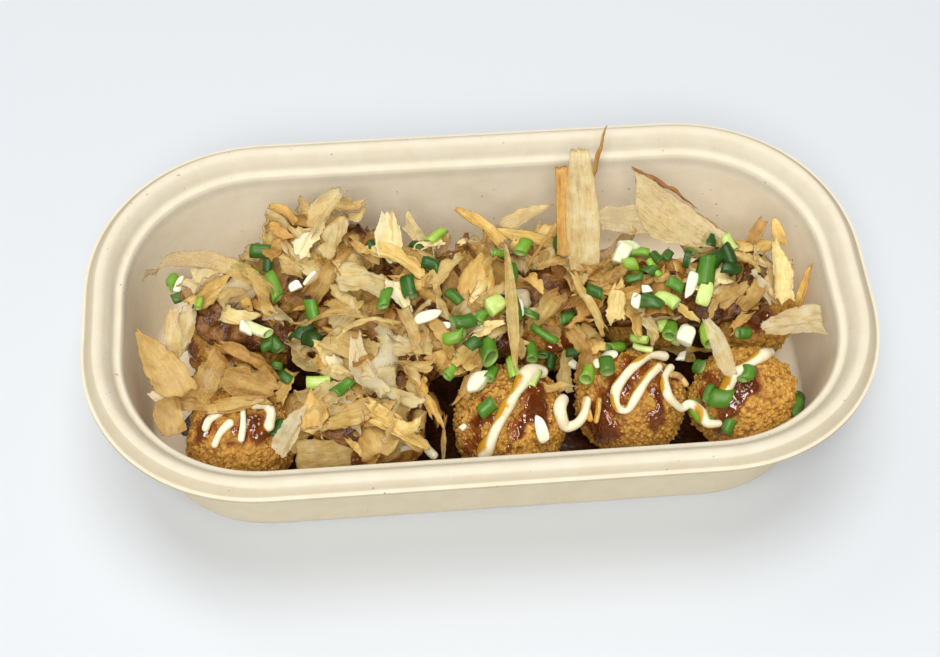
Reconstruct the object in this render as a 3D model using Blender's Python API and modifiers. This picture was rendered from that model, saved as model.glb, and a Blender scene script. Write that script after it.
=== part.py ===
"""Takoyaki balls in a moulded plant-fibre tray.

Ten breaded octopus balls lie in two rows in a deep rounded tray. A heap of
dried fish flakes covers most of them, larger flakes stand and curl out of the
heap, and strands of mayonnaise lie over the front balls. Everything is in
metres, +Z up. The origin is at the middle of the tray's underside, the tray's
long side runs along X and the side that is served from faces -Y.
"""

import math

import bmesh
import bpy
from mathutils import Vector, noise

COLLECTION = "takoyaki_tray"

# --- driving dimensions ------------------------------------------------------

TRAY_LENGTH = 0.240        # over the lip
TRAY_WIDTH = 0.131         # over the lip
TRAY_HEIGHT = 0.048        # underside to the crest of the rim
TRAY_CORNER = 0.0557       # plan radius of the lip's corners
CORNER_POWER = 2.1         # 2 is a circular corner, more is squarer
TRAY_WALL = 0.0010         # thickness of the moulded fibre
CORNER_STEPS = 10          # outline points along one corner

CHANNEL_HALF = 0.0080      # half width of the shallow channel under the base
CHANNEL_FLAT = 0.0045      # half width of its flat top
CHANNEL_DEPTH = 0.0009
CHANNEL_TOP = 0.0040       # the channel lifts the base below this height

GAP = 0.0003               # air between touching pieces
BALL_SQUASH = 0.97         # height of a ball over its width
BALL_UNEVEN = 0.05         # depth of the dents, as a share of the radius
BALL_SEGMENTS = 16
BALL_RINGS = 10
DENT_DENSITY = 1.4         # dents across one radius
DENT_SHIFT = 90.0          # how differently two neighbours are dented

HEAP_CELL = 0.006          # spacing of the heap's surface points
HEAP_SEAT = 0.0016         # room between the heap and the balls under it
HEAP_LOW = 0.030           # the heap's underside between the balls
HEAP_EDGE = 0.0012         # thickness of the heap at its outline
HEAP_RELIEF = 0.0030       # height of the heap's lumps
HEAP_LUMP = 0.011          # size of the heap's lumps
HEAP_SMOOTHING = 3         # rounds that even out the heap's outline
HEAP_SWAY = 0.25           # sideways unevenness, as a share of the cell
SWAY_PLACES = ((27.0, 0.0, 27.0), (7.0, 3.0, 1.0))

FLAKE_THICKNESS = 0.0005
FLAKE_STEPS = 5
FLAKE_CUP = 0.12           # hollow across a flake, as a share of its width

STRAND_LOW = 0.026         # a strand spans the clefts between balls above this
STRAND_STEPS = 3           # curve points from one plan point to the next

# The rim and wall in section: how far in from the lip, how far below the crest.
RIM_SECTION = (
    (0.0000, 0.0029),      # thin lip
    (0.0010, 0.0028),
    (0.0019, 0.0017),      # outer side of the bead
    (0.0032, 0.0004),
    (0.0046, 0.0000),      # crest
    (0.0063, 0.0006),
    (0.0080, 0.0026),      # inner side of the bead
    (0.0092, 0.0046),
    (0.0101, 0.0052),      # ledge
    (0.0112, 0.0055),
    (0.0119, 0.0066),      # rounded edge of the wall
)
WALL_DRAFT = 0.0040        # how far the wall leans in from top to bottom
FILLET = 0.0050            # radius where the wall meets the floor
FILLET_STEPS = 3

# Each ball: plan position and the radius at its widest.
BALLS = {
    "ball_1": (-0.0750, -0.0275, 0.0172),
    "ball_2": (-0.0360, -0.0290, 0.0174),
    "ball_3": (0.0070, -0.0285, 0.0180),
    "ball_4": (0.0452, -0.0245, 0.0172),
    "ball_5": (0.0802, -0.0265, 0.0174),
    "ball_6": (-0.0750, 0.0082, 0.0170),
    "ball_7": (-0.0320, 0.0085, 0.0172),
    "ball_8": (0.0208, 0.0090, 0.0170),
    "ball_9": (0.0542, 0.0122, 0.0162),
    "ball_10": (0.0870, 0.0076, 0.0162),
}

# The heap is a run of mounds: plan position, half sizes and height of the top.
MOUNDS = (
    (-0.0700, 0.0080, 0.0230, 0.0190, 0.045),
    (-0.0460, 0.0250, 0.0260, 0.0160, 0.049),
    (-0.0350, -0.0300, 0.0240, 0.0190, 0.045),
    (-0.0300, 0.0000, 0.0300, 0.0260, 0.047),
    (-0.0060, 0.0040, 0.0250, 0.0260, 0.046),
    (0.0180, 0.0120, 0.0200, 0.0170, 0.043),
    (0.0480, 0.0050, 0.0280, 0.0165, 0.043),
    (0.0820, 0.0080, 0.0190, 0.0170, 0.043),
)

# Each large flake: foot, tip, width, width of the tip over the width, bulge
# of the middle over the length, turn about its own length in degrees.
FLAKES = {
    "flake_tall": ((0.0320, 0.013, 0.046), (0.0330, 0.046, 0.058), 0.0145, 0.50, 0.04, 0.0),
    "flake_sliver": ((0.0405, 0.044, 0.0440), (0.0445, 0.054, 0.0580), 0.0026, 0.30, 0.08, 50.0),
    "flake_broad": ((0.0605, 0.021, 0.0435), (0.0580, 0.044, 0.0485), 0.0420, 0.12, 0.05, 0.0),
    "flake_ribbon": ((-0.062, 0.002, 0.0495), (-0.1005, 0.013, 0.0465), 0.0055, 0.70, 0.30, -30.0),
    "flake_left": ((-0.091, -0.024, 0.038), (-0.1045, -0.001, 0.040), 0.0150, 0.20, 0.06, 0.0),
    "flake_left_low": ((-0.0925, -0.033, 0.031), (-0.0985, -0.021, 0.033), 0.0080, 0.80, 0.04, 0.0),
    "flake_left_back": ((-0.0930, -0.008, 0.0360), (-0.0920, 0.005, 0.0420), 0.0065, 0.80, 0.08, 30.0),
    "flake_right_fan": ((0.087, -0.018, 0.0425), (0.1035, -0.015, 0.042), 0.0110, 1.10, 0.08, 0.0),
    "flake_right_mid": ((0.092, -0.008, 0.044), (0.092, 0.010, 0.051), 0.0085, 0.60, 0.08, 0.0),
    "flake_right_back": ((0.0950, 0.0135, 0.0440), (0.0930, 0.0220, 0.0475), 0.0070, 0.50, 0.08, 0.0),
    "flake_right_end": ((0.1035, -0.002, 0.038), (0.1025, 0.006, 0.048), 0.0040, 0.60, 0.08, 20.0),
    "flake_pale": ((-0.0265, 0.015, 0.0485), (-0.0265, 0.027, 0.0540), 0.0110, 0.80, 0.06, 0.0),
    "flake_rear": ((-0.051, 0.022, 0.0520), (-0.040, 0.034, 0.0575), 0.0100, 1.20, 0.08, 0.0),
    "flake_curl": ((-0.055, 0.029, 0.0500), (-0.063, 0.033, 0.0520), 0.0060, 0.80, 0.20, 0.0),
    "flake_middle": ((0.007, 0.020, 0.0460), (-0.005, 0.030, 0.0490), 0.0075, 0.50, 0.12, 0.0),
    "flake_wall": ((0.010, 0.030, 0.0400), (0.026, 0.036, 0.0440), 0.0100, 0.60, 0.06, 0.0),
    "flake_strip": ((0.0080, -0.018, 0.0420), (0.0100, 0.010, 0.0515), 0.0042, 0.70, 0.10, 0.0),
    "flake_front": ((-0.0635, -0.0455, 0.035), (-0.0535, -0.034, 0.0470), 0.0075, 0.70, 0.05, 0.0),
    "flake_blade": ((-0.0360, -0.0420, 0.0460), (-0.0180, -0.0480, 0.0375), 0.0070, 0.70, 0.08, 0.0),
    "flake_narrow": ((0.0736, -0.0300, 0.0415), (0.066, -0.013, 0.0500), 0.0045, 0.60, 0.06, 0.0),
}

# Each strand of mayonnaise: its radius and plan points, from end to end.
STRANDS = {
    "mayo_1": (
        0.0017,
        (
            (0.0185, -0.0195),
            (0.0132, -0.0226),
            (0.0078, -0.0305),
            (0.0037, -0.0361),
            (0.0000, -0.0412),
            (-0.0024, -0.0438),
        ),
    ),
    "mayo_2": (
        0.0015,
        (
            (0.0560, -0.0150),
            (0.0510, -0.0170),
            (0.0440, -0.0232),
            (0.0388, -0.0290),
            (0.0385, -0.0335),
            (0.0415, -0.0350),
            (0.0445, -0.0318),
            (0.0485, -0.0265),
            (0.0525, -0.0222),
        ),
    ),
    "mayo_3": (
        0.0014,
        (
            (0.0570, -0.0205),
            (0.0540, -0.0260),
            (0.0545, -0.0310),
            (0.0585, -0.0325),
            (0.0620, -0.0310),
            (0.0650, -0.0340),
            (0.0660, -0.0380),
            (0.0695, -0.0385),
        ),
    ),
    "mayo_4": (
        0.0018,
        (
            (0.0880, -0.0184),
            (0.0825, -0.0225),
            (0.0773, -0.0260),
            (0.0742, -0.0281),
            (0.0724, -0.0305),
            (0.0707, -0.0335),
        ),
    ),
    "mayo_5": (
        0.0015,
        (
            (0.0225, -0.0284),
            (0.0214, -0.0326),
            (0.0228, -0.0360),
            (0.0262, -0.0355),
            (0.0290, -0.0325),
            (0.0304, -0.0280),
        ),
    ),
    "mayo_6": (0.0011, ((-0.0845, -0.0320), (-0.0832, -0.0300), (-0.0798, -0.0286))),
    "mayo_7": (0.0012, ((-0.0820, -0.0372), (-0.0800, -0.0346), (-0.0772, -0.0326))),
    "mayo_8": (0.0010, ((-0.0732, -0.0285), (-0.0732, -0.0330), (-0.0740, -0.0370))),
    "mayo_9": (0.0016, ((-0.0698, -0.0265), (-0.0665, -0.0262), (-0.0650, -0.0288), (-0.0658, -0.0330))),
}


# --- helpers -----------------------------------------------------------------


def clear_scene() -> None:
    """Remove every object of the open scene."""
    for found in list(bpy.data.objects):
        bpy.data.objects.remove(found, do_unlink=True)


def material(name: str, colour: tuple, roughness: float) -> bpy.types.Material:
    """Make a plain Principled material."""
    made = bpy.data.materials.new(name)
    made.use_nodes = True
    shader = made.node_tree.nodes["Principled BSDF"]
    shader.inputs["Base Color"].default_value = (*colour, 1.0)
    shader.inputs["Roughness"].default_value = roughness
    shader.inputs["Metallic"].default_value = 0.0
    return made


def add_object(name: str, data: bpy.types.ID, look: bpy.types.Material) -> bpy.types.Object:
    """Put new mesh or curve data into the collection as one named object."""
    made = bpy.data.objects.new(name, data)
    data.materials.append(look)
    bpy.data.collections[COLLECTION].objects.link(made)
    return made


def finish_mesh(bm: bmesh.types.BMesh, name: str) -> bpy.types.Mesh:
    """Turn a bmesh into smooth-shaded mesh data."""
    mesh = bpy.data.meshes.new(name)
    bm.to_mesh(mesh)
    bm.free()
    mesh.shade_smooth()
    return mesh


# --- tray --------------------------------------------------------------------


def tray_outline(inset: float) -> list:
    """Plan outline of the tray, offset inwards from the lip.

    The straight stretches of the long sides carry extra points where the
    channel in the base starts and ends.
    """
    half_x = TRAY_LENGTH / 2 - inset
    half_y = TRAY_WIDTH / 2 - inset
    radius = TRAY_CORNER - inset
    corner = []
    for step in range(CORNER_STEPS + 1):
        angle = math.pi / 2 * step / CORNER_STEPS
        across = math.cos(angle) ** (2 / CORNER_POWER)
        along = math.sin(angle) ** (2 / CORNER_POWER)
        corner.append((half_x - radius + radius * across, half_y - radius + radius * along))
    channel = [(x, half_y) for x in (CHANNEL_HALF, CHANNEL_FLAT)]
    quarter = corner + channel
    half = quarter + [(-x, y) for x, y in reversed(quarter)]
    return half + [(-x, -y) for x, y in half]


def tray_section() -> list:
    """Inset and height of the tray's inner face, from the lip to the floor."""
    section = [(inset, TRAY_HEIGHT - drop) for inset, drop in RIM_SECTION]
    foot_inset = section[-1][0] + WALL_DRAFT
    for step in range(FILLET_STEPS + 1):
        angle = math.pi / 2 * step / FILLET_STEPS
        inset = foot_inset + FILLET * (1 - math.cos(angle))
        height = TRAY_WALL + FILLET * (1 - math.sin(angle))
        section.append((inset, height))
    return section


def channel_rise(x: float) -> float:
    """How far the channel lifts the base at one place along the tray."""
    ramp = (CHANNEL_HALF - abs(x)) / (CHANNEL_HALF - CHANNEL_FLAT)
    return CHANNEL_DEPTH * min(1.0, max(0.0, ramp))


def build_tray(look: bpy.types.Material) -> None:
    """Sweep the rim and wall section round the outline and close the floor."""
    bm = bmesh.new()
    section = tray_section()
    count = len(tray_outline(0.0))
    bmesh.ops.create_circle(bm, segments=count, radius=TRAY_LENGTH / 2, cap_ends=False)
    bm.verts.ensure_lookup_table()
    ring = list(bm.verts)
    edges = list(bm.edges)
    for row, (inset, height) in enumerate(section):
        if row:
            swept = bmesh.ops.extrude_edge_only(bm, edges=edges)["geom"]
            edges = [item for item in swept if isinstance(item, bmesh.types.BMEdge)]
            edges = [e for e in edges if all(v in swept for v in e.verts)]
            fresh = []
            for vert in ring:
                link = [e.other_vert(vert) for e in vert.link_edges if e.other_vert(vert) in swept]
                fresh.append(link[0])
            ring = fresh
        low = height < CHANNEL_TOP
        for vert, (x, y) in zip(ring, tray_outline(inset)):
            rise = channel_rise(x) if low else 0.0
            vert.co = Vector((x, y, height + rise))
    close_floor(bm, ring)
    bmesh.ops.recalc_face_normals(bm, faces=bm.faces)
    if bm.faces[-1].normal.z < 0:
        bmesh.ops.reverse_faces(bm, faces=bm.faces)
    tray = add_object("tray", finish_mesh(bm, "tray"), look)
    shell = tray.modifiers.new("wall", "SOLIDIFY")
    shell.thickness = TRAY_WALL
    shell.offset = -1.0
    shell.use_even_offset = True


def close_floor(bm: bmesh.types.BMesh, ring: list) -> None:
    """Join the far side of the floor's outline to the near side, pair by pair."""
    half = len(ring) // 2
    far = ring[:half]
    near = ring[half:][::-1]
    for step in range(half - 1):
        bm.faces.new((far[step], far[step + 1], near[step + 1], near[step]))


# --- balls -------------------------------------------------------------------


def ball_height(radius: float) -> float:
    """Height of a ball's middle above the underside of the tray."""
    return TRAY_WALL + GAP + radius * BALL_SQUASH


def build_ball(name: str, x: float, y: float, radius: float, look: bpy.types.Material) -> None:
    """Make one lumpy ball, dented inwards from its nominal radius."""
    bm = bmesh.new()
    bmesh.ops.create_uvsphere(bm, u_segments=BALL_SEGMENTS, v_segments=BALL_RINGS, radius=radius)
    for vert in bm.verts:
        away = vert.co.normalized()
        sample = away * DENT_DENSITY + Vector((x, y, radius)) * DENT_SHIFT
        dent = 0.5 + 0.5 * noise.noise(sample)
        vert.co *= 1.0 - BALL_UNEVEN * min(1.0, max(0.0, dent))
        vert.co.z *= BALL_SQUASH
    ball = add_object(name, finish_mesh(bm, name), look)
    ball.location = (x, y, ball_height(radius))


def surface_height(x: float, y: float, clearance: float, floor: float) -> float:
    """Height of the balls' upper surface, grown by a clearance, at one place."""
    top = floor
    for ball_x, ball_y, radius in BALLS.values():
        reach = radius + clearance
        rest = reach**2 - (x - ball_x) ** 2 - (y - ball_y) ** 2
        if rest > 0.0:
            top = max(top, ball_height(radius) + math.sqrt(rest))
    return top


# --- heap of flakes ----------------------------------------------------------


def heap_cover(x: float, y: float) -> float:
    """Height of the heap's top over its low level at one place, or 0 outside."""
    cover = 0.0
    for mound_x, mound_y, half_x, half_y, top in MOUNDS:
        away = ((x - mound_x) / half_x) ** 2 + ((y - mound_y) / half_y) ** 2
        if away < 1.0:
            cover = max(cover, (top - HEAP_LOW) * math.sqrt(1.0 - away**2))
    return cover


def even_outline(bm: bmesh.types.BMesh) -> None:
    """Draw each point of the outline halfway to its two neighbours on it."""
    rim = [v for v in bm.verts if v.is_boundary]
    places = []
    for vert in rim:
        beside = [e.other_vert(vert).co for e in vert.link_edges if e.is_boundary]
        middle = sum(beside, Vector()) / len(beside)
        places.append((vert.co + middle) / 2)
    for vert, place in zip(rim, places):
        vert.co = place


def build_heap(look: bpy.types.Material) -> None:
    """Raise the mounds as one closed, lumpy body that rests over the balls."""
    bm = bmesh.new()
    columns = round(TRAY_LENGTH / HEAP_CELL)
    rows = round(TRAY_WIDTH / HEAP_CELL)
    bmesh.ops.create_grid(bm, x_segments=columns, y_segments=rows, size=0.5)
    for vert in bm.verts:
        x = vert.co.x * columns * HEAP_CELL
        y = vert.co.y * rows * HEAP_CELL
        place = Vector((x, y, 0.0)) / HEAP_LUMP
        sway_x, sway_y = (noise.noise(place + Vector(shift)) for shift in SWAY_PLACES)
        vert.co.x = x + HEAP_SWAY * HEAP_CELL * sway_x
        vert.co.y = y + HEAP_SWAY * HEAP_CELL * sway_y
    outside = [v for v in bm.verts if heap_cover(v.co.x, v.co.y) <= 0.0]
    bmesh.ops.delete(bm, geom=outside, context="VERTS")
    for _ in range(HEAP_SMOOTHING):
        even_outline(bm)
    for vert in bm.verts:
        vert.co.z = surface_height(vert.co.x, vert.co.y, HEAP_SEAT, HEAP_LOW)
    bottom = list(bm.faces)
    grown = bmesh.ops.extrude_face_region(bm, geom=bottom, use_keep_orig=True)["geom"]
    for vert in (item for item in grown if isinstance(item, bmesh.types.BMVert)):
        sample = Vector((vert.co.x, vert.co.y, 0.0)) / HEAP_LUMP
        lump = HEAP_RELIEF * noise.noise(sample)
        top = HEAP_LOW + heap_cover(vert.co.x, vert.co.y) + lump
        vert.co.z = max(vert.co.z + HEAP_EDGE, top)
    bmesh.ops.recalc_face_normals(bm, faces=bm.faces)
    add_object("flake_heap", finish_mesh(bm, "flake_heap"), look)


# --- large flakes ------------------------------------------------------------


def build_flake(name: str, flake: tuple, look: bpy.types.Material) -> None:
    """Make one thin curved flake that runs from its foot to its tip."""
    foot, tip, width, taper, bulge, turn = flake
    start = Vector(foot)
    run = Vector(tip) - start
    side = run.cross(Vector((0.0, 0.0, 1.0))).cross(run)
    side = run.cross(side).normalized()
    out = side.cross(run).normalized()
    swing = math.radians(turn)
    across = side * math.cos(swing) + out * math.sin(swing)
    lift = out * math.cos(swing) - side * math.sin(swing)
    bm = bmesh.new()
    bmesh.ops.create_grid(bm, x_segments=FLAKE_STEPS, y_segments=2, size=0.5)
    for vert in bm.verts:
        along = vert.co.x + 0.5
        half = width * (1.0 + (taper - 1.0) * along)
        arch = 4.0 * along * (1.0 - along) * bulge * run.length
        cup = FLAKE_CUP * half * (1.0 - 4.0 * vert.co.y**2)
        vert.co = start + run * along + across * (vert.co.y * half) + lift * (arch + cup)
    flat = add_object(name, finish_mesh(bm, name), look)
    body = flat.modifiers.new("body", "SOLIDIFY")
    body.thickness = FLAKE_THICKNESS
    body.offset = 0.0


# --- mayonnaise --------------------------------------------------------------


def smooth_route(points: tuple, steps: int) -> list:
    """Read a smooth curve through plan points, Catmull-Rom fashion."""
    padded = [points[0], *points, points[-1]]
    route = []
    for index in range(len(points) - 1):
        before, start, end, after = (Vector(p) for p in padded[index:index + 4])
        for step in range(steps):
            t = step / steps
            pull = (end - before) * t
            bend = (before * 2 - start * 5 + end * 4 - after) * t**2
            twist = (start * 3 - before - end * 3 + after) * t**3
            route.append((start * 2 + pull + bend + twist) / 2)
    route.append(Vector(points[-1]))
    return route


def build_strand(name: str, strand: tuple, look: bpy.types.Material) -> None:
    """Lay one round strand of mayonnaise over the balls."""
    radius, points = strand
    route = smooth_route(points, STRAND_STEPS)
    data = bpy.data.curves.new(name, "CURVE")
    data.dimensions = "3D"
    data.bevel_depth = radius
    data.bevel_resolution = 1
    data.use_fill_caps = True
    spline = data.splines.new("POLY")
    spline.points.add(len(route) - 1)
    for point, place in zip(spline.points, route):
        height = surface_height(place.x, place.y, radius + GAP, STRAND_LOW)
        point.co = (place.x, place.y, height, 1.0)
    add_object(name, data, look)


# --- model -------------------------------------------------------------------

def main() -> None:
    """Build every piece of the object."""
    clear_scene()
    bpy.context.scene.collection.children.link(bpy.data.collections.new(COLLECTION))
    fibre = material("moulded_fibre", (0.74, 0.61, 0.44), 0.85)
    crust = material("breaded_crust", (0.45, 0.23, 0.07), 0.80)
    flakes = material("fish_flakes", (0.66, 0.45, 0.24), 0.60)
    mayonnaise = material("mayonnaise", (0.86, 0.78, 0.58), 0.35)
    build_tray(fibre)
    for name, (x, y, radius) in BALLS.items():
        build_ball(name, x, y, radius, crust)
    build_heap(flakes)
    for name, flake in FLAKES.items():
        build_flake(name, flake, flakes)
    for name, strand in STRANDS.items():
        build_strand(name, strand, mayonnaise)


main()
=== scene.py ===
"""Looks of a tray of takoyaki.

Crusted octopus balls lie in a moulded plant-fibre tray under a heap of dried
fish flakes, with brown sauce, strands of mayonnaise and cut spring onion.
Everything is in metres, +Z up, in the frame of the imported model.
"""

import logging
import math
from dataclasses import dataclass
from enum import Enum

import bmesh
import bpy
import numpy as np
from mathutils import Matrix, Vector
from mathutils.bvhtree import BVHTree
from mathutils.kdtree import KDTree


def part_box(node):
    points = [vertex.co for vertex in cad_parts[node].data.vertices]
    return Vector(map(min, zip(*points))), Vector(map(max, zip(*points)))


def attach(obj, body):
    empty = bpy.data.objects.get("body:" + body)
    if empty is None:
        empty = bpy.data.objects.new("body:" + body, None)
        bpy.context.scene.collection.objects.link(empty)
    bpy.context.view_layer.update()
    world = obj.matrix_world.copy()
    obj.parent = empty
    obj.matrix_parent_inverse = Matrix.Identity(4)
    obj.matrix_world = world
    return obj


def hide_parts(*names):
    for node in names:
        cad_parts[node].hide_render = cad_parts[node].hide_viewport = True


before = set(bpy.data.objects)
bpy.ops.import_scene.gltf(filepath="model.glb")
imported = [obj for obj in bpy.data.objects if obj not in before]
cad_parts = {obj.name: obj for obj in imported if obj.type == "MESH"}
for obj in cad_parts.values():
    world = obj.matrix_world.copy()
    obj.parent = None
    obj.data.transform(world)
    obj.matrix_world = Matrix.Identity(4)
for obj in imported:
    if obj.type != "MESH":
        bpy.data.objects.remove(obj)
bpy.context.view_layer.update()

LOG = logging.getLogger("takoyaki")
MM = 0.001
BRIDGE = 9.0 * MM
ABOVE = 0.2
# Heights over which the painted shade of the tray's rim band fades in.
RIM_SHADE_LOW = 37.0 * MM
RIM_SHADE_HIGH = 40.5 * MM
UP = Vector((0.0, 0.0, 1.0))


class Slot(Enum):
    """Material slots of the record."""

    FIBRE = "moulded_fibre"
    CRUST = "breaded_crust"
    FLAKES = "fish_flakes"
    MAYO = "mayonnaise"
    SAUCE = "brown_sauce"
    ONION = "spring_onion"


# --- shader expressions --------------------------------------------------------


class Value:
    """A number socket that takes part in arithmetic by adding Math nodes."""

    def __init__(self, graph: "Graph", socket: bpy.types.NodeSocket) -> None:
        """Wrap one output socket of a graph."""
        self.graph = graph
        self.socket = socket

    def __add__(self, other: "Value | float") -> "Value":
        """Sum."""
        return self.graph.maths("ADD", self, other)

    __radd__ = __add__

    def __sub__(self, other: "Value | float") -> "Value":
        """Difference."""
        return self.graph.maths("SUBTRACT", self, other)

    def __rsub__(self, other: float) -> "Value":
        """Difference from a number."""
        return self.graph.maths("SUBTRACT", other, self)

    def __mul__(self, other: "Value | float") -> "Value":
        """Product."""
        return self.graph.maths("MULTIPLY", self, other)

    __rmul__ = __mul__

    def at_most(self, other: "Value | float") -> "Value":
        """The smaller of two numbers."""
        return self.graph.maths("MINIMUM", self, other)

    def at_least(self, other: "Value | float") -> "Value":
        """The larger of two numbers."""
        return self.graph.maths("MAXIMUM", self, other)


class Graph:
    """The nodes of one material."""

    def __init__(self, name: str) -> None:
        """Start a material with nothing but its output."""
        self.material = bpy.data.materials.new(name)
        self.material.use_nodes = True
        self.tree = self.material.node_tree
        self.tree.nodes.clear()
        self.output = self.add("ShaderNodeOutputMaterial")

    def add(self, kind: str, settings: dict | None = None, inputs: dict | None = None) -> bpy.types.Node:
        """Add one node.

        Args:
            kind: node type.
            settings: properties, set before anything is linked; "stops" fills a ramp.
            inputs: values or links by socket name or number.

        Returns:
            The new node.
        """
        node = self.tree.nodes.new(kind)
        for key, setting in (settings or {}).items():
            if key == "stops":
                self.fill_ramp(node.color_ramp, setting)
            else:
                setattr(node, key, setting)
        for key, given in (inputs or {}).items():
            socket = node.inputs[key]
            if isinstance(given, Value):
                given = given.socket
            if isinstance(given, bpy.types.NodeSocket):
                self.tree.links.new(given, socket)
            else:
                socket.default_value = (*given, 1.0) if self.is_colour(given, socket) else given
        return node

    @staticmethod
    def is_colour(given: object, socket: bpy.types.NodeSocket) -> bool:
        """Whether three numbers go into a socket that takes four."""
        return isinstance(given, tuple) and len(given) == 3 and socket.type == "RGBA"

    @staticmethod
    def fill_ramp(ramp: bpy.types.ColorRamp, stops: tuple) -> None:
        """Give a colour ramp its places and colours."""
        for place, _ in stops[2:]:
            ramp.elements.new(place)
        for element, (place, colour) in zip(ramp.elements, stops):
            element.position = place
            element.color = (*colour, 1.0)

    def maths(self, operation: str, first: "Value | float", second: "Value | float") -> Value:
        """Join two numbers by one Math node."""
        node = self.add("ShaderNodeMath", {"operation": operation}, {0: first, 1: second})
        return Value(self, node.outputs[0])

    def place(self, scale: tuple = (1.0, 1.0, 1.0), turn: tuple = (0.0, 0.0, 0.0)) -> bpy.types.NodeSocket:
        """Object coordinates, stretched and turned."""
        here = self.add("ShaderNodeTexCoord").outputs["Object"]
        return self.stretch(here, scale, turn)

    def stretch(self, vector: bpy.types.NodeSocket, scale: tuple,
                turn: tuple = (0.0, 0.0, 0.0)) -> bpy.types.NodeSocket:
        """Scale and turn a vector."""
        inputs = {"Vector": vector, "Scale": scale, "Rotation": turn}
        return self.add("ShaderNodeMapping", {}, inputs).outputs[0]

    def noise(self, vector: bpy.types.NodeSocket, scale: float, detail: float = 2.0) -> Value:
        """Soft noise between 0 and 1."""
        inputs = {"Vector": vector, "Scale": scale, "Detail": detail, "Roughness": 0.55}
        return Value(self, self.add("ShaderNodeTexNoise", {}, inputs).outputs[0])

    def ease(self, value: Value, low: float, high: float) -> Value:
        """Smooth step from 0 at low to 1 at high."""
        settings = {"interpolation_type": "SMOOTHSTEP"}
        node = self.add("ShaderNodeMapRange", settings, {"Value": value, "From Min": low, "From Max": high})
        return Value(self, node.outputs[0])

    def mix(self, factor: "Value | float", first: object, second: object,
            blend: str = "MIX") -> bpy.types.NodeSocket:
        """Blend two colours."""
        settings = {"data_type": "RGBA", "blend_type": blend}
        return self.add("ShaderNodeMix", settings, {0: factor, 6: first, 7: second}).outputs[2]

    def ramp(self, value: Value, stops: tuple) -> bpy.types.NodeSocket:
        """Colour by place on a ramp."""
        return self.add("ShaderNodeValToRGB", {"stops": stops}, {0: value}).outputs[0]

    def number(self, name: str) -> Value:
        """A number that the mesh carries."""
        return Value(self, self.add("ShaderNodeAttribute", {"attribute_name": name}).outputs["Fac"])

    def vector(self, name: str) -> bpy.types.NodeSocket:
        """A vector that the mesh carries."""
        return self.add("ShaderNodeAttribute", {"attribute_name": name}).outputs["Vector"]

    def height(self) -> Value:
        """Height over the ground."""
        return Value(self, self.add("ShaderNodeSeparateXYZ", {}, {0: self.place()}).outputs[2])

    def outward(self) -> Value:
        """How much a face turns away from the upright middle line, in metres."""
        across = self.stretch(self.place(), (1.0, 1.0, 0.0))
        facing = self.add("ShaderNodeTexCoord").outputs["Normal"]
        node = self.add("ShaderNodeVectorMath", {"operation": "DOT_PRODUCT"}, {0: across, 1: facing})
        return Value(self, node.outputs["Value"])

    def bump(self, height: Value, strength: float, distance: float) -> bpy.types.NodeSocket:
        """Surface relief from a height."""
        inputs = {"Height": height, "Strength": strength, "Distance": distance}
        return self.add("ShaderNodeBump", {}, inputs).outputs[0]

    def finish(self, inputs: dict) -> bpy.types.Material:
        """Close the material with one Principled shader."""
        shader = self.add("ShaderNodeBsdfPrincipled", {}, inputs)
        self.tree.links.new(shader.outputs[0], self.output.inputs["Surface"])
        return self.material


# --- finishes --------------------------------------------------------------------


@dataclass(frozen=True)
class FibreFinish:
    """Moulded plant fibre: matt, cream, finely flecked, with painted shade on the rim band and on the outer
    face so that the inner walls read lighter.
    """

    pale: tuple = (0.945, 0.862, 0.678)
    deep: tuple = (0.915, 0.818, 0.620)
    strand: tuple = (0.560, 0.430, 0.260)
    fleck: tuple = (0.200, 0.120, 0.055)
    # Painted shade multiplied onto the rim band, so that the inner walls below read lighter.
    rim: tuple = (0.775, 0.772, 0.766)
    # Painted shade multiplied onto the faces that turn outwards, the tray's outer side.
    outer_painted_shade: tuple = (0.815, 0.781, 0.723)

    def make(self) -> bpy.types.Material:
        """Build the material."""
        g = Graph("moulded_fibre")
        here = g.place()
        cloud = g.noise(here, 160.0, 5.0)
        grain = g.noise(here, 1700.0, 3.0)
        along = g.noise(g.place((260.0, 1900.0, 900.0), (0.2, 0.1, 0.5)), 1.0, 3.0)
        across = g.noise(g.place((1700.0, 240.0, 800.0), (0.1, 0.3, 0.9)), 1.0, 3.0)
        colour = g.mix(g.ease(cloud, 0.35, 0.65), self.deep, self.pale)
        strands = g.ease(along, 0.62, 0.78).at_least(g.ease(across, 0.63, 0.80))
        colour = g.mix(strands * 0.16, colour, self.strand)
        flecks = g.ease(g.noise(here, 620.0, 1.0), 0.765, 0.795)
        colour = g.mix(flecks * 0.55, colour, self.fleck)
        # Painted shade: the rim band at the top of the tray is darkened.
        colour = g.mix(g.ease(g.height(), RIM_SHADE_LOW, RIM_SHADE_HIGH), colour, self.rim, "MULTIPLY")
        # Painted shade: faces that turn outwards are darkened.
        colour = g.mix(g.ease(g.outward(), 0.034, 0.052), colour, self.outer_painted_shade, "MULTIPLY")
        relief = grain * 0.6 + along * 0.3 + across * 0.3
        return g.finish({
            "Base Color": colour,
            "Roughness": 0.78 + grain * 0.12,
            "Normal": g.bump(relief, 0.35, 0.00035),
        })


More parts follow.
